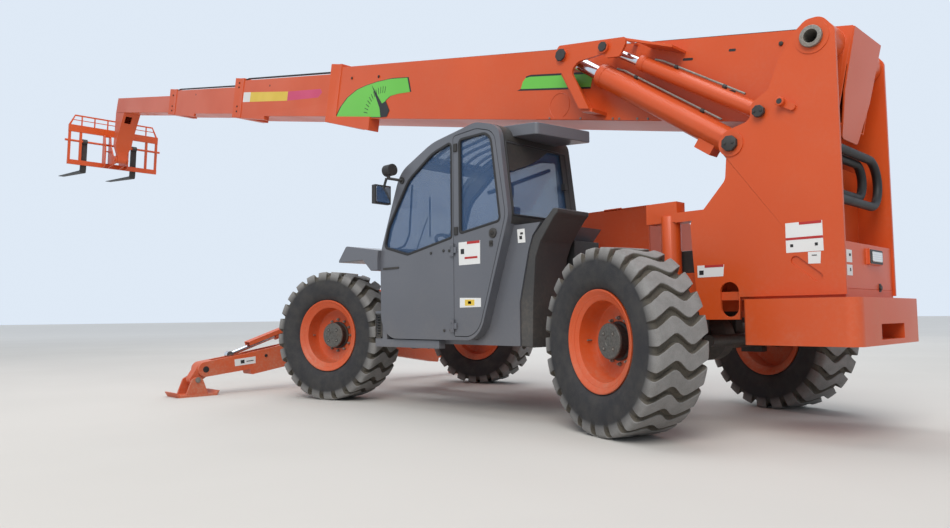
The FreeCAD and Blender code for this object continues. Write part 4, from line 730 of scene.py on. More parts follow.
for axle_end in ("front", "rear"):
    for wheel_side in SIDES:
        tyre(axle_end, wheel_side)
        wheel(axle_end, wheel_side)
print("tyre:", len(TYRE_ROWS) * 2 - 1, "rows of", LUGS * len(LUG_LINES), "points")

# %% [markdown]
# ## The boom's markings and small parts
#
# Stripes, labels and slots lie on the boom's side, so they are drawn in the boom's own measures:
# s along it and u above its pivot. A mask in the paint could draw them too, but a sheet a little
# over a millimetre thick keeps a crisp edge at any distance and is a piece of its own.
# A green stripe with thin black edges runs forward from the cylinders' bracket on either side.
# Ahead of it, on the driver's side only, is a quarter-round green angle scale with its needle.

# %% Stripe and angle scale
SHEET, PAINT_FILM = 0.0014, 0.0004
SECTION_SIDE = {"boom": 0.269, "boom_2": 0.235, "boom_3": 0.205}


def boom_sheet(outline, body="boom", lift=0.0, thick=SHEET):
    """A flat sheet on a section's left side, its outline in s and u."""
    low = SECTION_SIDE[body] + lift
    return plate(np.asarray(outline, float), low, low + thick)


def boom_piece(name, shapes, material, body="boom", **rest):
    piece(name, shapes, material, body, on_boom, **rest)


STRIPE = [(2.0, -0.229), (2.86, -0.229), (2.845, -0.16), (2.815, -0.125), (2.76, -0.114), (2.0, -0.114)]
STRIPE_EDGES = [
    [(2.0, -0.246), (2.905, -0.246), (2.865, -0.229), (2.0, -0.229)],
    [(2.0, -0.114), (2.76, -0.114), (2.815, -0.125), (2.81, -0.108), (2.75, -0.095), (2.0, -0.095)],
]
boom_piece("stripe", boom_sheet(STRIPE), GREEN, twin=True)
boom_piece("stripe_edges", [boom_sheet(edge) for edge in STRIPE_EDGES], LABEL_BLACK, twin=True)
SCALE = np.array([
    (6.095, -0.509), (6.013, -0.383), (5.880, -0.264), (5.686, -0.170), (5.491, -0.122), (5.280, -0.086),
    (5.007, -0.057), (4.693, -0.055), (4.611, -0.220), (4.836, -0.236), (4.982, -0.261), (5.058, -0.307),
    (5.120, -0.410), (5.120, -0.509),
])
SCALE_MIDDLE, SCALE_BORDER, TICK_ROOT = np.array([5.30, -0.30]), 1.035, np.array([5.13, -0.50])
NEEDLE = [(5.380, -0.124), (5.126, -0.348), (5.056, -0.318), (4.958, -0.431), (5.000, -0.506), (5.120, -0.513),
          (5.165, -0.40)]
boom_piece("angle_scale_edge", boom_sheet(SCALE_MIDDLE + (SCALE - SCALE_MIDDLE) * SCALE_BORDER), LABEL_BLACK)
boom_piece("angle_scale", boom_sheet(SCALE, lift=SHEET), GREEN)
marks = []
for turn in np.radians(np.linspace(8, 96, 12)):
    out = np.array([math.cos(turn), math.sin(turn)])
    across = np.array([-out[1], out[0]]) * 0.004
    near, far = TICK_ROOT + out * 0.28, TICK_ROOT + out * 0.36
    marks.append(boom_sheet([near - across, far - across, far + across, near + across], lift=2 * SHEET))
boom_piece("angle_scale_marks", marks + [boom_sheet(NEEDLE, lift=3 * SHEET)], LABEL_BLACK)

# %% [markdown]
# The second section carries a coloured band that shows how far it is out: white, yellow and pink.
# It is a film of paint, thinner than the gap to the section that slides over it.

# %% Reach band
BAND = {
    "white": (WHITE, [(8.899, -0.128), (8.899, -0.280), (8.663, -0.279), (8.663, -0.130)]),
    "yellow": (LABEL_YELLOW, [(8.663, -0.130), (8.663, -0.279), (7.50, -0.275), (7.50, -0.145)]),
    "pink": (LABEL_PINK, [(7.50, -0.145), (7.50, -0.275), (6.667, -0.244), (6.572, -0.177), (6.626, -0.129)]),
}
for colour, (material, outline) in BAND.items():
    boom_piece("reach_band_" + colour, boom_sheet(outline, "boom_2", thick=PAINT_FILM), material, "boom_2",
               slot="orange_paint")

# %% [markdown]
# Slots and screw heads let the wear pads inside be set. The slots are black sheets: their dark is painted shade. The
# strip bolted along the lower edge covers the hose run. A round bead is the mark of a plug welded in the side. Between
# the collars a rubber-covered cable runs close above each section's roof. Where a section slides into the
# next, its screws are as flat as the paint, so that nothing scrapes.

# %% Slots, screws, cover strip and roof cables
SLOTS = [(0.609, 0.667, -0.310, -0.290), (0.664, 0.721, 0.004, 0.024), (1.018, 1.108, -0.046, -0.026)]
# painted shade: black sheets stand for the dark inside the pad slots
boom_piece("pad_slot_shade", [boom_sheet(box_outline(*slot, 0.008)) for slot in SLOTS], LABEL_BLACK, twin=True)
# where each section's collar starts, and the screws on its side: s, u
SCREWS = {
    "boom": (6.2, [(0.318, 0.037), (5.837, -0.02), (5.260, -0.02), (6.235, -0.40), (6.235, -0.08), (6.235, 0.08)]),
    "boom_2": (9.0, [(8.066, -0.045), (9.055, -0.43), (9.055, -0.35), (9.055, -0.05), (9.055, 0.02)]),
    "boom_3": (11.7, [(10.824, -0.12), (11.82, -0.40), (11.82, -0.32), (11.82, -0.12)]),
}
SCREW_HEIGHT, COLLAR = 0.012, 0.010
for body, (collar_start, places_su) in SCREWS.items():
    heads = []
    for s, u in places_su:
        on_collar = s > collar_start
        low = SECTION_SIDE[body] + (COLLAR if on_collar else 0.0)
        height = SCREW_HEIGHT if on_collar or body == "boom" else PAINT_FILM
        heads.append(button(s, low - 0.002, u, height + 0.002, [(0, 0.017), (0.85, 0.017), (1, 0.013)], 6))
    boom_piece("pad_screws_" + body, heads, DARK_IRON, body, twin=True)
side = SECTION_SIDE["boom"]
boom_piece("cover_strips", plate(box_outline(0.86, 2.60, -0.524, -0.500), side, side + 0.004), ORANGE, bevel=0.001,
           twin=True)
boom_piece("cover_strip_screws", [button(s, side + 0.003, -0.512, 0.009, [(0, 0.011), (1, 0.009)], 6)
                                  for s in (0.98, 1.348, 1.453, 1.638, 1.705, 2.06, 2.43)], STEEL, twin=True)
bead = arc_points((2.335, -0.395), 0.118, 0, 350, 36)
boom_piece("plug_weld", tube(np.insert(bead, 1, side, axis=1), 0.0035, 8), ORANGE, twin=True)
CABLES = {"boom_2": (3.4, 8.93, 0.205, 0.088), "boom_3": (6.3, 11.70, 0.178, -0.004)}
for body, (start, end, y, u) in CABLES.items():
    path = [(start, y, u - 0.02), (start + 0.1, y, u), (end - 0.1, y, u), (end, y, u - 0.02)]
    boom_piece("roof_cable_" + body, tube(path, 0.013, 10), HOSE, body)

# %% [markdown]
# ## Cylinders, tower and rear
#
# The cylinders' pins have octagonal retainers held by two screws. Each barrel ends in a gland
# collar, and a steel line held by two clamps runs along it. Each is placed by its distance from
# the barrel's foot, so it follows the cylinder's slope without an angle being written down.

# %% Pins, glands and lines of the boom cylinders
LUG_FACE, CYLINDER_Y = 0.5405, 0.378
# the foot's x, z on the tower; the eye's s, u on the boom; the pin retainer's radius; the barrel's length and radius
CYLINDERS = {"lift": ((-0.489, 2.068), (2.180, 0.0), 0.058, 1.470, 0.095),
             "level": ((-0.711, 2.257), (1.730, 0.043), 0.044, 1.230, 0.0575)}


def retainer(x, z, radius):
    """An octagonal pin retainer with two screws, on a pin's outer end."""
    cap = button(x, LUG_FACE, z, 0.010, [(0, radius), (0.8, radius), (1, radius * 0.93)], 8)
    reach = radius * 0.55
    return joined([cap, bolts([(x - reach, LUG_FACE + 0.010, z), (x + reach, LUG_FACE + 0.010, z)], 0.010, 0.007)])


def cylinder_trim(foot, eye_su, barrel, radius):
    """Gland collar with its lip, a steel line along the barrel, and its two clamps."""
    eye = on_boom([(eye_su[0], 0.0, eye_su[1])])[0] - [DATUM_X, 0.0, 0.0]
    along = (eye[[0, 2]] - foot) / np.hypot(*(eye[[0, 2]] - foot))

    def at(distance, out=0.0):
        x, z = foot + along * distance + np.array([-along[1], along[0]]) * out
        return x, CYLINDER_Y, z

    lip, collar, out = radius + 0.002, radius + 0.006, radius + 0.020
    gland = drum(at(barrel - 0.050), at(barrel - 0.004), [(0, lip), (0.1, collar), (0.9, collar), (1, lip)], 32)
    line = tube([at(0.24, out), at(0.32, out), at(barrel - 0.20, out), at(barrel - 0.12, out - 0.012)], 0.0085, 10)
    clamps = [drum(at(d - 0.015, out - 0.006), at(d + 0.015, out - 0.006), [(0, 0.017), (1, 0.017)], 12)
              for d in (0.42, barrel - 0.34)]
    return gland, line, clamps


piece("foot_retainers", [retainer(*foot, pin) for foot, _, pin, _, _ in CYLINDERS.values()], BLACK, twin=True)
boom_piece("eye_retainers", [button(s, 0.529, u, 0.012, [(0, pin), (1, pin - 0.004)], 8)
                             for _, (s, u), pin, _, _ in CYLINDERS.values()], BLACK, twin=True)
for kind, (foot, eye_su, _, barrel, radius) in CYLINDERS.items():
    gland, line, clamps = cylinder_trim(np.array(foot), eye_su, barrel, radius)
    piece(kind + "_glands", gland, ORANGE, kind + "_barrels", twin=True)
    piece(kind + "_lines", line, STEEL, kind + "_barrels", twin=True)
    piece(kind + "_clamps", clamps, BLACK, kind + "_barrels", twin=True)


# %% [markdown]
# The tower's side plates carry blank labels. A bar across a label is its red heading.
# A label is a sheet of vinyl with printed blocks lying on it; none of them holds a word.
# The blocks are given as shares of the label, so they slant with it.

# %% Blank labels
def side_sheet(y):
    """A maker of sheets on a plane that faces left, their outlines in x and z."""
    return lambda outline, lift=0.0: plate(np.asarray(outline, float), y + lift, y + lift + SHEET)


def back_sheet(x):
    """A maker of sheets on a plane that faces the rear, their outlines in y and z."""
    return lambda outline, lift=0.0: plate(np.asarray(outline, float), x - lift - SHEET, x - lift, "yz")


def inside(quad, a0, a1, b0, b1):
    """Part of a four-cornered label: shares a along its first side and b towards its far side."""
    p0, p1, p2, p3 = (np.array(p, float) for p in quad)
    at = lambda a, b: (1 - b) * ((1 - a) * p0 + a * p1) + b * ((1 - a) * p3 + a * p2)
    return [at(a0, b0), at(a1, b0), at(a1, b1), at(a0, b1)]


def label(name, quad, sheet, blocks, body="chassis"):
    """A blank label: its sheet, then printed blocks (material, a0, a1, b0, b1) a hair above it."""
    piece(name, sheet(quad), WHITE, body)
    for number, (material, *span) in enumerate(blocks):
        piece(f"{name}_{number}", sheet(inside(quad, *span), lift=SHEET), material, body)


tower_sheet = side_sheet(0.506)
label("tower_label_big", [(-1.098, 1.452), (-0.856, 1.452), (-0.855, 1.250), (-1.100, 1.250)], tower_sheet,
      [(LABEL_RED, 0.02, 0.62, 0.0, 0.09), (LABEL_RED, 0.0, 1.0, 0.50, 0.58), (LABEL_BLACK, 0.14, 0.22, 0.72, 0.82),
       (LABEL_BLACK, 0.80, 0.88, 0.72, 0.82)])
label("tower_label_small", [(-1.082, 1.246), (-0.999, 1.246), (-0.998, 1.169), (-1.076, 1.167)], tower_sheet,
      [(LABEL_BLACK, 0.3, 0.7, 0.25, 0.33)])
label("tower_label_front", [(-0.404, 1.199), (-0.193, 1.200), (-0.193, 1.111), (-0.395, 1.113)], tower_sheet,
      [(LABEL_RED, 0.02, 0.72, 0.0, 0.20), (LABEL_BLACK, 0.76, 0.93, 0.42, 0.78)])

# %% [markdown]
# At the rear, the service box has a lamp in a dark frame, two more labels and a key lock.
# The lamp stands on the box's rim, the rest on its face a little further in.
# A short stub stands on the tower's left side; a black disc on its end is painted shade for a blind bore. The lens is
# bevelled glass on top of its frame, because a hole in the frame would show nothing more from outside.

# %% Rear box trim and the tower's stub
BOX_RIM = float(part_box("rear_box")[0][0]) - DATUM_X
BOX_FACE = BOX_RIM + 0.025
piece("rear_lamp_frame", plate(box_outline(-0.192, 0.062, 1.176, 1.274, 0.012), BOX_RIM - 0.004, BOX_RIM + 0.002, "yz"),
      BLACK, slot="dark_paint", bevel=0.0015)
piece("rear_lamp_lens", plate(box_outline(-0.162, 0.032, 1.190, 1.260, 0.008), BOX_RIM - 0.012, BOX_RIM - 0.004, "yz"),
      LENS, slot="grey_paint", bevel=0.004)
label("rear_label_top", [(0.34, 1.254), (0.46, 1.254), (0.46, 1.172), (0.34, 1.172)], back_sheet(BOX_FACE),
      [(LABEL_BLACK, 0.2, 0.45, 0.3, 0.5)])
label("rear_label_low", [(0.34, 1.155), (0.46, 1.155), (0.46, 1.085), (0.34, 1.085)], back_sheet(BOX_FACE),
      [(LABEL_BLACK, 0.25, 0.4, 0.3, 0.6)])
lock_body = drum((BOX_FACE + 0.002, -0.19, 1.014), (BOX_FACE - 0.014, -0.19, 1.014),
                 [(0, 0.020), (0.8, 0.020), (1, 0.016)], 16)
lock_flap = block((BOX_FACE - 0.006, BOX_FACE + 0.001), (-0.206, -0.174), (0.985, 1.043))
piece("rear_lock", [lock_body, lock_flap], BLACK, bevel=0.001)
piece("tower_stub", button(-0.872, 0.505, 2.287, 0.063, [(0, 0.030), (0.92, 0.030), (1, 0.026)]), ORANGE)
# painted shade: the black disc on the stub's end stands for the dark inside its bore
piece("tower_stub_bore_shade", button(-0.872, 0.5675, 2.287, 0.0025, [(0, 0.020), (1, 0.018)]), BLACK)

# %% [markdown]
# ## The cab
#
# Black rubber holds every pane: a flat band on the side windows, and a cord that follows the curve
# of the skin round the windscreen, the roof window and the back window.
# The side view of the skin is one outline; each cord is a stretch of it, there and back, so the
# rubber lies on the skin wherever that bends.

# %% Outlines of the cab
CAB_SIDE, CAB_RIGHT, CAB_MIDDLE = 1.250, 0.360, np.array([1.9, 1.6])
PANE_RIGHT, PANE_LEFT, SKIN_POINTS = 0.43, 1.19, 900
CAB_OUTLINE = rounded([
    (2.712, 0.640, 0.230), (2.725, 1.450, 0.450), (2.420, 2.195, 0.300), (1.960, 2.395, 0.700),
    (1.400, 2.475, 0.250), (1.130, 2.400, 0.150), (1.030, 1.650, 0.250), (1.380, 0.640, 0.230),
], 0.08)
FRONT_WINDOW = rounded([
    (1.703, 1.520, 0.025), (2.309, 1.412, 0.060), (2.665, 1.505, 0.045), (2.600, 1.700, 0.300),
    (2.300, 2.105, 0.300), (1.960, 2.300, 0.400), (1.703, 2.360, 0.035),
])
DOOR_WINDOW = rounded([(1.604, 1.545, 0.030), (1.604, 2.362, 0.035), (1.225, 2.362, 0.110), (1.120, 1.610, 0.040)])
RIGHT_WINDOW = rounded([
    (1.190, 1.640, 0.050), (2.500, 1.640, 0.050), (2.380, 1.980, 0.200), (2.050, 2.220, 0.150),
    (1.440, 2.270, 0.050), (1.240, 2.230, 0.060),
])
DOOR_EDGE = rounded([
    (1.395, 0.675, 0.200), (1.677, 0.675, 0.015), (1.677, 2.400, 0.030), (1.390, 2.415, 0.200),
    (1.185, 2.355, 0.130), (1.068, 1.655, 0.220),
])


# %% Rubber bands and cords
def unit(rows):
    """Rows of two numbers, each made one long."""
    return rows / np.hypot(rows[:, 0], rows[:, 1])[:, None]


def offset(outline, distance):
    """A closed outline moved outwards along its normals by a distance."""
    points = np.asarray(outline, float)
    onward = np.roll(points, -1, axis=0)
    before, after = unit(points - np.roll(points, 1, axis=0)), unit(onward - points)
    tangent = unit(before + after)
    area = np.sum(points[:, 0] * onward[:, 1] - onward[:, 0] * points[:, 1])
    normal = np.stack([tangent[:, 1], -tangent[:, 0]], axis=1) * np.sign(area)
    stretch = 1 / np.clip(np.sum(tangent * after, axis=1), 0.6, 1)
    return points + normal * (distance * stretch)[:, None]


def side_rubber(name, outline, inner, outer, low, high, body="chassis"):
    """A closed ring of rubber round an outline in x and z, between two offsets and two depths in y."""
    rim = ((inner, low), (inner, high - 0.002), (inner + 0.002, high), (outer - 0.002, high), (outer, high - 0.002),
           (outer, low))
    rows = [np.insert(offset(outline, distance), 1, y, axis=1) for distance, y in rim]
    shape = np.concatenate(rows), grid_faces(len(rows), len(outline), close_rows=True, close_columns=True)
    piece(name, shape, SEAL, body, sharp=50)


side_rubber("front_side_rubber", FRONT_WINDOW, -0.013, 0.009, CAB_SIDE - 0.022, CAB_SIDE + 0.003)
side_rubber("door_window_rubber", DOOR_WINDOW, -0.013, 0.009, CAB_SIDE - 0.022, CAB_SIDE + 0.003, "door")
side_rubber("right_window_rubber", RIGHT_WINDOW, -0.013, 0.009, CAB_RIGHT - 0.003, CAB_RIGHT + 0.022)
side_rubber("door_gap_rubber", DOOR_EDGE, 0.0008, 0.0045, CAB_SIDE - 0.040, CAB_SIDE - 0.002)


def resampled(line, count):
    """The same line with evenly spaced points."""
    length = np.concatenate([[0], np.cumsum(np.hypot(*np.diff(line, axis=0).T))])
    t = np.linspace(0, length[-1], count)
    return np.stack([np.interp(t, length, line[:, k]) for k in (0, 1)], axis=1)


def skin_stretch(x0, x1, z0, z1, count, out=0.0):
    """The part of the skin's side view in a box, moved outwards, as count rows of x and z."""
    corners = np.concatenate([CAB_OUTLINE, CAB_OUTLINE[:1]])
    line = offset(resampled(corners, SKIN_POINTS)[:-1], out)
    chosen = np.flatnonzero((line[:, 0] > x0) & (line[:, 0] < x1) & (line[:, 1] > z0) & (line[:, 1] < z1))
    gaps = np.flatnonzero(np.diff(chosen) > 1)
    if len(gaps):
        chosen = np.roll(chosen, -(gaps[0] + 1))
    return resampled(line[chosen], count)


def edge_normals(line):
    """Unit normals of an open line, pointing away from the cab's middle."""
    tangent = unit(np.gradient(line, axis=0))
    normal = np.stack([tangent[:, 1], -tangent[:, 0]], axis=1)
    return normal * np.sign(np.sum(normal * (line - CAB_MIDDLE), axis=1))[:, None]


def skin_sheet(line, y0, y1, thick):
    """A sheet over a stretch of the skin between y0 and y1, numbers or one per row, thick outwards."""
    count, high = len(line), line + thick * edge_normals(line)
    rows = [np.column_stack([edge[:, 0], np.broadcast_to(y, count), edge[:, 1]])
            for edge, y in ((line, y0), (high, y0), (high, y1), (line, y1))]
    ends = [[k * count for k in range(4)], [k * count + count - 1 for k in range(4)][::-1]]
    return np.concatenate(rows), list(grid_faces(4, count, close_rows=True)) + ends


WINDSCREEN = skin_stretch(2.25, 2.95, 1.50, 2.60, 40, 0.001)
ROOF_WINDOW = skin_stretch(1.48, 2.15, 2.20, 2.60, 24, 0.001)
BACK_WINDOW = skin_stretch(0.90, 1.25, 1.65, 2.27, 24, 0.001)
for pane, stretch in (("windscreen", WINDSCREEN), ("roof_window", ROOF_WINDOW), ("back_window", BACK_WINDOW)):
    there, back = np.insert(stretch, 1, PANE_RIGHT, axis=1), np.insert(stretch, 1, PANE_LEFT, axis=1)[::-1]
    piece(pane + "_rubber", tube(np.concatenate([there, back, there[:2]]), 0.009, 10), SEAL, sharp=50)

# %% [markdown]
# The cab's back is black round its window: the header under the roof slab and both rear posts.
# At the top of the window, by the roof, a black sheet is painted shade: the dark roof lining seen inside.
# Thin sheets over stretches of the same outline give it, with no need to cut up the cab's shell.

# %% Black rear frame
header = skin_stretch(0.90, 1.40, 2.27, 2.60, 12)
post = skin_stretch(0.90, 1.30, 1.62, 2.36, 24)
sill = skin_stretch(0.90, 1.30, 1.58, 1.655, 6)
# painted shade: a black sheet at the top of the back window, by the roof, stands for the dark lining seen inside the
# cab
shade_corner = skin_stretch(0.90, 1.25, 2.02, 2.27, 8)
shade_corner_edge = 1.20 - 0.56 * np.clip((shade_corner[:, 1] - 2.03) / 0.24, 0.02, 1) ** 0.6
piece("cab_rear_frame_and_painted_shade", [skin_sheet(header, 0.362, 1.200, 0.003), skin_sheet(post, 0.358, 0.495, 0.004),
                         skin_sheet(post, 1.180, 1.204, 0.003), skin_sheet(sill, 0.362, 1.200, 0.003),
                         skin_sheet(shade_corner, shade_corner_edge, 1.202, 0.0035)], BLACK)
piece("back_window_latch", block((1.030, 1.075), (0.490, 0.525), (1.93, 1.985)), BLACK, bevel=0.003)

# %% [markdown]
# The door has a round lock with its keyhole below, two blank labels and small window hinges.
# Bolts and a strip finish the cab's side, and one more label stands on its base.
# They are small and round or square, so turned and flat shapes on the side's plane will do.

# %% Door fittings and labels
key_plate = plate(box_outline(1.208, 1.246, 1.408, 1.458, 0.008), CAB_SIDE - 0.002, CAB_SIDE + 0.006)
piece("door_lock", [button(1.205, CAB_SIDE - 0.002, 1.517, 0.016, [(0, 0.041), (0.7, 0.041), (1, 0.034)], 28),
                    key_plate], BLACK, "door")
piece("door_lock_button", [button(1.205, CAB_SIDE + 0.013, 1.517, 0.006, [(0, 0.020), (0.8, 0.020), (1, 0.016)], 20),
                           button(1.227, CAB_SIDE + 0.005, 1.436, 0.007, [(0, 0.012), (1, 0.010)], 16)],
      DARK_IRON, "door")
piece("window_hinges", [block((1.625, 1.668), (CAB_SIDE - 0.002, CAB_SIDE + 0.012), (z - 0.035, z + 0.035))
                        for z in (1.572, 2.297)], PLASTIC, "door", slot="dark_paint", bevel=0.003)
label("door_label_top", [(1.355, 1.470), (1.617, 1.470), (1.613, 1.275), (1.357, 1.275)], side_sheet(CAB_SIDE),
      [(LABEL_RED, 0.02, 0.60, 0.0, 0.11), (LABEL_RED, 0.12, 0.72, 0.66, 0.75), (LABEL_BLACK, 0.74, 0.90, 0.30, 0.52)],
      "door")
label("door_label_low", [(1.352, 0.991), (1.606, 0.998), (1.607, 0.915), (1.352, 0.918)], side_sheet(CAB_SIDE),
      [(LABEL_YELLOW, 0.30, 0.75, 0.18, 0.82), (LABEL_BLACK, 0.45, 0.60, 0.35, 0.65)], "door")
side_bolts = [(1.81, 1.414), (1.736, 1.409), (1.806, 0.721), (1.722, 0.722), (1.977, 1.404)]
piece("cab_side_bolts", bolts([(x, CAB_SIDE, z) for x, z in side_bolts], 0.013, 0.009), BLACK)
piece("cab_side_strip", plate(box_outline(2.439, 2.677, 1.290, 1.310, 0.009), CAB_SIDE - 0.001, CAB_SIDE + 0.008),
      PLASTIC, slot="dark_paint", bevel=0.002)
label("base_label", [(0.940, 1.535), (1.020, 1.535), (1.012, 1.424), (0.932, 1.424)], side_sheet(1.160),
      [(LABEL_BLACK, 0.25, 0.6, 0.25, 0.4), (LABEL_BLACK, 0.4, 0.75, 0.5, 0.75)])

# %% [markdown]
# Low at the front stands a black ventilation grille: a tray of level slats in a frame.
# The slats are real, as the gaps between them look dark from every side.

# %% Grille
slats = [block((2.737, 2.810), (1.206, 1.228), (z, z + 0.010)) for z in np.arange(0.664, 0.850, 0.026)]
piece("cab_grille", slats + [block((2.736, 2.811), (1.202, 1.206), (0.656, 0.859))], BLACK, slot="dark_paint")
GRILLE_FRAME = [((2.722, 2.735), (0.640, 0.876)), ((2.812, 2.826), (0.640, 0.876)), ((2.722, 2.826), (0.861, 0.876)),
                ((2.722, 2.826), (0.640, 0.654))]
piece("cab_grille_frame", [block(x, (1.229, 1.236), z) for x, z in GRILLE_FRAME], BLACK, slot="dark_paint")

# %% [markdown]
# ### Seat
#
# A stuffed cushion bulges between its seams. Its surface is a rounded box whose top swells like
# (1 - a^4)(1 - b^4), with a welt pressed in where the cover is sewn.
# Cloth simulation would do it too, but this seat is small and shows only through tinted glass.

# %% Seat cushions
SEAT_Y, CUSHION_GRID, CORNER, LEAN = 0.790, 29, 0.035, math.radians(96)


def cushion(x, half_width, z, crown):
    """A stuffed block about the seat's middle: the top swells by crown and has two sewn lines."""
    side = CUSHION_GRID
    a, b = np.meshgrid(np.linspace(-1, 1, side), np.linspace(-1, 1, side), indexing="ij")
    swell = (1 - a ** 4) * (1 - b ** 4)
    seams = 0.006 * np.exp(-((np.abs(b) - 0.58) / 0.035) ** 2) * (1 - a ** 4)
    edge = np.clip((np.maximum(np.abs(a), np.abs(b)) - 0.86) / 0.14, 0, 1)
    round_off = CORNER * (1 - np.sqrt(1 - edge ** 2))
    height = z[1] - z[0]
    heights = height - crown + crown * swell - seams - round_off, np.minimum(round_off, height * 0.3)
    across = (x[0] + x[1]) / 2 + (x[1] - x[0]) / 2 * a, SEAT_Y + half_width * b
    points = np.concatenate([np.stack([*across, z[0] + h], axis=2).reshape(-1, 3) for h in heights])
    rim = np.concatenate([np.arange(side), np.arange(1, side) * side + side - 1,
                          np.arange(side - 2, -1, -1) + side * (side - 1), np.arange(side - 2, 0, -1) * side])
    onward, layer = np.roll(rim, -1), side * side
    faces = [grid_faces(side, side), grid_faces(side, side) + layer,
             np.stack([rim, onward, onward + layer, rim + layer], axis=1)]
    return points, list(np.concatenate(faces))


def upright(shape, x, z):
    """A cushion stood up as a back rest: turned about Y at its foot."""
    points, faces = shape
    c, s = math.cos(LEAN), math.sin(LEAN)
    along, out = points[:, 0], points[:, 2]
    return np.stack([x + along * c - out * s, points[:, 1], z + along * s + out * c], axis=1), faces


CUSHIONS = {
    "seat_cushion": cushion((1.455, 1.940), 0.240, (1.062, 1.170), 0.030),
    "seat_back": upright(cushion((0.0, 0.46), 0.225, (0.0, 0.105), 0.028), 1.552, 1.172),
    "seat_headrest": upright(cushion((0.0, 0.125), 0.115, (0.0, 0.085), 0.018), 1.490, 1.690),
}
piece("seat_frame", [block((1.600, 1.860), (SEAT_Y - 0.180, SEAT_Y + 0.180), (0.6853, 1.030)),
                     block((1.450, 1.925), (SEAT_Y - 0.215, SEAT_Y + 0.215), (1.028, 1.066))], PLASTIC, bevel=0.008,
      stands_for=["cab_seat"])
for name, shape in CUSHIONS.items():
    piece(name, shape, VINYL, sharp=60)

# %% [markdown]
# Through the glass one sees the belt bar behind the seat, the bent demister tube at the front,
# the levers beside the seat and the roof's cross bars, which are part of the solid model.
# Bars are tubes along a bent path: a tinted pane hides everything but their line.

# %% Inside the cab
belt_bar = tube(bend([(1.30, 1.196, 1.865), (1.30, 0.984, 1.943), (1.30, 0.415, 2.155)], 0.05), 0.018)
head_bar = tube([(1.335, 0.871, 1.965), (1.345, 0.855, 1.89), (1.385, 0.845, 1.80)], 0.012, 10)
demister_path = bend([(2.385, 1.13, 2.09), (2.43, 1.13, 1.62), (2.50, 1.13, 1.515), (2.62, 1.12, 1.50)], 0.08)
piece("cab_bars", [belt_bar, head_bar, tube(demister_path, 0.010, 10)], PLASTIC)
console = block((1.50, 1.90), (0.415, 0.530), (0.688, 1.24))
dials = block((2.33, 2.44), (0.68, 0.92), (1.32, 1.47))
piece("cab_console", [console, dials], PLASTIC, bevel=0.012)
piece("cab_levers", [tube([(1.86, 0.47, 1.23), (1.88, 0.47, 1.34), (1.875, 0.47, 1.40)], [0.008, 0.008, 0.019]),
                     tube([(1.78, 0.47, 1.23), (1.79, 0.47, 1.32), (1.787, 0.47, 1.36)], [0.006, 0.006, 0.015])],
      BLACK, slot="cab_plastic")

# %% [markdown]
# The mirror's glass faces the rear. The round work lamp above it faces forward, as does the wiper.
# The wiper's blade and arm are worked out from the windscreen's own line, a little off it.

# %% Mirror, lamp and wiper
piece("mirror_glass", plate(box_outline(1.312, 1.468, 1.907, 2.058, 0.018), 2.4915, 2.4965, "yz"), CHROME, bevel=0.001)
piece("work_lamp_lens", drum((2.5235, 1.330, 2.215), (2.532, 1.330, 2.215), [(0, 0.049), (0.6, 0.046), (1, 0.035)], 28),
      LENS)
WIPER_GAP = 0.022


def wiper_arm(start, end, count, y0, slope, radius):
    """A bar that lies off the windscreen by a gap, from one share of its height to another, with y = y0 + slope t."""
    t = np.linspace(start, end, count)
    share = np.linspace(0, 1, len(WINDSCREEN))
    line = WINDSCREEN + WIPER_GAP * edge_normals(WINDSCREEN)
    x, z = (np.interp(t, share, line[:, k]) for k in (0, 1))
    return tube(np.column_stack([x, y0 + slope * t, z]), radius, 8)


piece("wiper", [wiper_arm(0.16, 0.60, 12, 0.62, 0.30, 0.009), wiper_arm(0.0, 0.38, 8, 0.80, -0.10, 0.007)], BLACK)

# %% [markdown]
# ## Outriggers
#
# Each outrigger carries a blank label on its rear face, and its pins end in round caps.
# One set of places serves both sides, with the sign of y turned.

# %% Outrigger trim
LEG_X, LEG_BACK = 5.050, 4.950
for side, sign in SIDES.items():
    quad = [(sign * y, z) for y, z in ((1.633, 0.301), (1.382, 0.323), (1.383, 0.402), (1.640, 0.378))]
    label("leg_label_" + side, quad, back_sheet(LEG_BACK),
          [(LABEL_BLACK, 0.28, 0.46, 0.25, 0.75), (LABEL_BLACK, 0.56, 0.90, 0.40, 0.52)], "leg_" + side)

    def pin_end(x0, x1, y, z, profile, sides):
        return drum((x0, sign * y, z), (x1, sign * y, z), profile, sides)

    piece("leg_pin_caps_" + side,
          [pin_end(LEG_BACK, LEG_BACK - 0.006, 1.970, 0.285, [(0, 0.034), (0.8, 0.034), (1, 0.030)], 24),
           pin_end(LEG_BACK, LEG_BACK - 0.008, 1.250, 0.405, [(0, 0.020), (1, 0.017)], 6)], DARK_IRON, "leg_" + side)
    piece("toe_pin_" + side, [pin_end(LEG_X + k * 0.140, LEG_X + k * 0.1465, 2.075, 0.178,
                                      [(0, 0.030), (0.7, 0.030), (1, 0.022)], 20) for k in (-1, 1)],
          STEEL, "foot_" + side)

# %% [markdown]
# ## Right side
#
# The photograph doesn't show this side. The engine needs air, an exhaust and access, so the pod and
# the hood have louvres pressed outwards, and there are latches, an outlet pipe, a filler and a step.
# A louvre is a wedge on the wall: its open lower edge is in shadow, so no hole is needed.

# %% Louvres, latches and outlet
POD_SIDE, LOUVRE_DEPTH, LOUVRE_HEIGHT = -1.240, 0.014, 0.030


def louvre(x, width, z):
    """A pressed louvre on a wall that faces right: a wedge that is deepest at its open lower edge."""
    deep = -LOUVRE_DEPTH
    section = np.array([(0.0, z + LOUVRE_HEIGHT), (deep, z + 0.006), (deep, z), (0.0, z)])
    section[:, 0] += POD_SIDE + 0.001
    return plate(section, x, x + width, "yz")


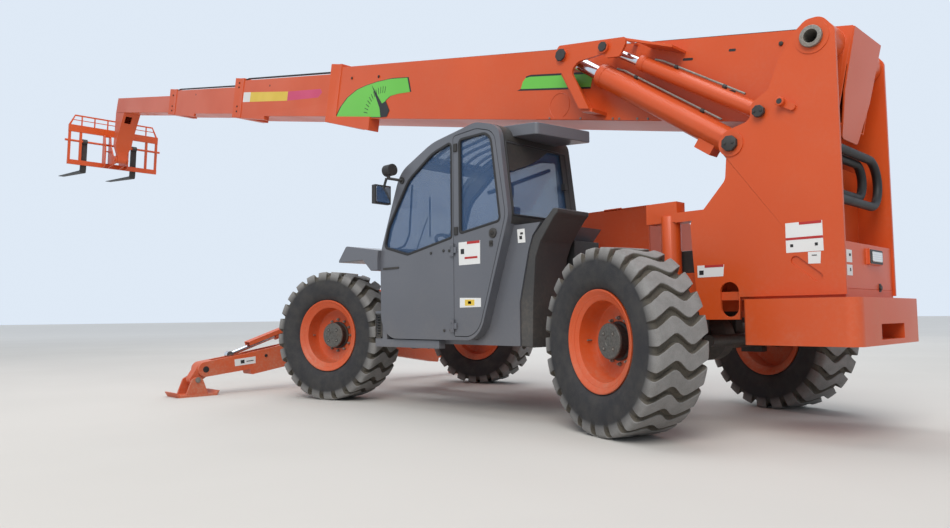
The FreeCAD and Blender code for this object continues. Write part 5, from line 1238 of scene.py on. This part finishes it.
piece("pod_louvres", [louvre(x, 0.40, z) for x in (1.10, 1.60, 2.10) for z in np.arange(0.92, 1.26, 0.055)],
      ORANGE_LOW, bevel=0.001)
piece("hood_louvres", [louvre(x, 0.34, z) for x in (1.62, 2.10) for z in np.arange(1.46, 1.60, 0.050)],
      ORANGE, "hood", bevel=0.001)
latches = [joined([block((x - 0.035, x + 0.035), (POD_SIDE - 0.010, POD_SIDE + 0.001), (1.422, 1.492)),
                   button(x, POD_SIDE - 0.009, 1.466, -0.006, [(0, 0.016), (1, 0.013)], 16)]) for x in (1.15, 2.62)]
piece("hood_latches", latches, BLACK, "hood", bevel=0.002)
piece("exhaust_outlet", button(2.66, POD_SIDE + 0.002, 1.16, -0.077, [(0, 0.062), (0.12, 0.062), (0.14, 0.046),
                                                                       (1, 0.046)], 28),
      DARK_IRON, slot="engine_iron", bevel=0.002)
# painted shade and soot: the black disc at the pipe's end stands for its dark open mouth
piece("exhaust_mouth_shade", button(2.66, POD_SIDE - 0.0745, 1.16, -0.002, [(0, 0.040), (1, 0.040)], 28), LABEL_BLACK,
      slot="black_steel")
piece("filler_cap", button(1.02, POD_SIDE + 0.002, 1.18, -0.037, [(0, 0.052), (0.3, 0.052), (0.34, 0.044), (0.9, 0.044),
                                                                   (1, 0.036)], 28), BLACK)
step = [block((1.30, 1.64), (POD_SIDE - 0.07, POD_SIDE - 0.03), (0.70, 0.72))]
step += [block((x, x + 0.02), (POD_SIDE - 0.06, POD_SIDE + 0.001), (0.70, 0.80)) for x in (1.30, 1.62)]
piece("pod_step", step, BLACK, bevel=0.002)

# %% [markdown]
# Valve blocks stand behind the cab and on the frame. The hose bundles loop in sleeves at the
# tower's open back, and the lines run along the frame past the gearbox. All are fixed to the
# machine, so they are tubes along fixed paths and not free cords.

# %% Valves and lines
VALVES = [block((0.800, 1.000), (0.365, 0.700), (1.17, 1.46)), block((-0.10, 0.22), (-0.18, 0.330), (1.15, 1.335))]
ports = [drum((0.90, y, 1.455), (0.90, y, 1.515), [(0, 0.03), (0.7, 0.03), (1, 0.024)], 16) for y in (0.44, 0.53, 0.62)]
piece("valve_block", VALVES + ports, BLACK, bevel=0.006)
# the sleeves of the hose bundles: x, middle height, radius, and y where the turn starts
SLEEVES = [(-1.170, 1.775, 0.172, -0.230), (-1.105, 1.790, 0.125, -0.150)]
for number, (x, z, radius, turn) in enumerate(SLEEVES):
    arc = arc_points((turn, z), radius, 90, 270, 20)
    path = np.concatenate([[(0.465, z + radius), (0.3, z + radius)], arc, [(0.3, z - radius), (0.465, z - radius)]])
    piece(f"hose_sleeve_{number}", tube(np.insert(path, 0, x, axis=1), 0.031, 16), HOSE)
hoses = []
for number, y in enumerate((-0.16, -0.10, -0.04, 0.02, 0.08, 0.14)):
    z = 1.07 + 0.012 * (number % 3)
    path = bend([(-0.70, y, z), (0.30, y, z - 0.05), (1.50, y * 0.8, z), (2.9, y * 0.9, z - 0.02)], 0.2)
    hoses.append(tube(path, 0.016, 10))
piece("frame_hoses", hoses, HOSE)

# %% [markdown]
# ## Solids that only need softer edges and a finish
#
# These shapes are right already. Each node is listed under its finish with the width of its rounded
# edges in millimetres: wide on the cast counterweight, narrow on thin sheet. Glass, rods and hoses
# keep their own meshes, whose edges don't show.

# %% Dressed solids
DRESSED = [
    (ORANGE, {"boom_base": 4, "boom_2": 4, "boom_3": 4, "boom_4": 4, "boom_head": 4, "boom_brackets": 3}),
    (ORANGE, {"carriage": 3}),
    (BLACK, {"forks": 4}),
    (ORANGE, {"tower": 4, "counterweight": 12, "rear_box": 4}),
    (STEEL, {"boom_pin": 4}),
    (BLACK, {"foot_pins": 3, "leg_pins": 3, "axle_front": 3, "axle_rear": 3, "driveline": 4}),
    (ORANGE_LOW, {"frame": 5, "engine_pod": 4}),
    (ORANGE, {"lift_barrels": 3, "level_barrels": 3, "lock_cylinder": 4, "hood": 6}),
    (DARK_IRON, {"engine_block": 10}),
    (CAB_GREY, {"cab_shell": 6, "cab_door": 5, "cab_roof": 8, "cab_base": 4, "front_fender": 6}),
    (FENDER, {"rear_fender": 10}),
    (PLASTIC, {"cab_controls": 8, "mirrors": 8}),
]
for side in SIDES:
    DRESSED.append((ORANGE_LOW, {"leg_arm_" + side: 4, "leg_foot_" + side: 3, "leg_barrel_" + side: 3}))
    DRESSED.append((BLACK, {"knuckle_front_" + side: 3, "knuckle_rear_" + side: 3}))
for finish, nodes in DRESSED:
    for node, millimetres in nodes.items():
        dress(node, finish, millimetres / 1000)
for finish, nodes in {CHROME: ("leg_rod_left", "leg_rod_right", "lift_rods", "level_rods"),
                      GLASS: ("cab_glass", "cab_door_glass"), HOSE: ("hoses",)}.items():
    for node in nodes:
        finish_node(node, finish)
print("dressed:", sum(len(nodes) for _, nodes in DRESSED), "solids")

# %% [markdown]
# ## Camera, light and floor
#
# The camera stands where the photographer stood, low down behind the machine's left rear wheel.
# The light is a plain soft studio: one wide lamp above and behind the camera, one from the far side
# to draw the edges, one overhead, and an even pale surround.

# %% Camera
FOCAL_PIXELS, IMAGE_WIDTH, SENSOR = 725.8, 950, 36.0
CAMERA_AT = (-2.908, 5.453, 0.843)
YAW, PITCH, ROLL = math.radians(-44.17), math.radians(4.10), math.radians(-0.556)


def aimed(look, at, roll=0.0):
    """The matrix of an object at a place that looks along a direction, turned by a roll about it."""
    look = np.asarray(look, float) / np.linalg.norm(look)
    right = np.cross(look, [0, 0, 1])
    right /= np.linalg.norm(right)
    up = np.cross(right, look)
    matrix = np.eye(4)
    matrix[:3, 0] = right * math.cos(roll) + up * math.sin(roll)
    matrix[:3, 1] = up * math.cos(roll) - right * math.sin(roll)
    matrix[:3, 2] = -look
    matrix[:3, 3] = place([at])[0]
    return Matrix(matrix.tolist())


camera_data = bpy.data.cameras.new("camera")
camera_data.sensor_width = SENSOR
camera_data.lens = FOCAL_PIXELS / IMAGE_WIDTH * SENSOR
camera_data.clip_end = 400.0
camera = new_object("camera", camera_data, 0.0)
look = (math.cos(PITCH) * math.cos(YAW), math.cos(PITCH) * math.sin(YAW), math.sin(PITCH))
camera.matrix_world = aimed(look, CAMERA_AT, ROLL)
bpy.context.scene.camera = camera
print("lens", round(camera_data.lens, 2), "mm")

# %% Light and surround
AIM = (6.5, 0.0, 2.0)
# each square soft lamp's place, size, watts and colour
LAMPS = {
    "key": ((-6.0, 14.0, 15.0), 12.0, 2800.0, (1.0, 0.97, 0.93)),
    "rim": ((14.0, -16.0, 13.0), 12.0, 1500.0, (0.96, 0.98, 1.0)),
    "top": ((5.0, 0.0, 20.0), 14.0, 1500.0, (1, 1, 1)),
}
for name, (at, size, watts, colour) in LAMPS.items():
    lamp = bpy.data.lights.new(name, "AREA")
    lamp.shape, lamp.size, lamp.energy, lamp.color = "SQUARE", size, watts, colour
    new_object(name, lamp, 0.0).matrix_world = aimed(np.subtract(AIM, at), at)

SKY, SKY_LIGHT, SKY_SEEN = (0.80, 0.89, 1.0, 1.0), 0.55, 0.92


def surround():
    """An even pale sky that is near white where the camera, a mirror or glass sees it."""
    world = bpy.data.worlds.new("studio")
    bpy.context.scene.world = world
    world.use_nodes = True
    tree = world.node_tree
    background = tree.nodes["Background"]
    rays = tree.nodes.new("ShaderNodeLightPath")
    seen = rays.outputs["Is Camera Ray"]
    for kind in ("Is Glossy Ray", "Is Transmission Ray"):
        either = tree.nodes.new("ShaderNodeMath")
        either.operation = "MAXIMUM"
        tree.links.new(seen, either.inputs[0])
        tree.links.new(rays.outputs[kind], either.inputs[1])
        seen = either.outputs[0]
    strength = tree.nodes.new("ShaderNodeMapRange")
    tree.links.new(seen, strength.inputs["Value"])
    strength.inputs["To Min"].default_value = SKY_LIGHT
    strength.inputs["To Max"].default_value = SKY_SEEN
    tree.links.new(strength.outputs[0], background.inputs["Strength"])
    background.inputs["Color"].default_value = SKY


surround()


# %% Floor
FAR, GLOW = (6.0, 34.0), 0.40


def floor_material():
    """Plain pale ground. Far from the lamps it glows a little, so that it doesn't darken towards the horizon."""
    g = Graph("floor")
    cloud = g.noise(0.35).step(0.3, 0.7)
    far = g.node("ShaderNodeVectorMath", {"operation": "LENGTH"}, {0: g.place}, "Value").step(*FAR)
    return g.set(
        Base_Color=g.mix(cloud * 0.5, srgb(204, 200, 194), srgb(196, 192, 186)),
        Roughness=0.9,
        Emission_Color=(*srgb(206, 208, 210), 1.0),
        Emission_Strength=far * GLOW,
    )


F = 150.0
floor = bpy.data.meshes.new("floor")
floor.from_pydata([(-F, -F, 0), (F, -F, 0), (F, F, 0), (-F, F, 0)], [], [(0, 1, 2, 3)])
floor.materials.append(floor_material())
new_object("floor", floor, 0.0)
bpy.context.scene.view_settings.view_transform = "Standard"
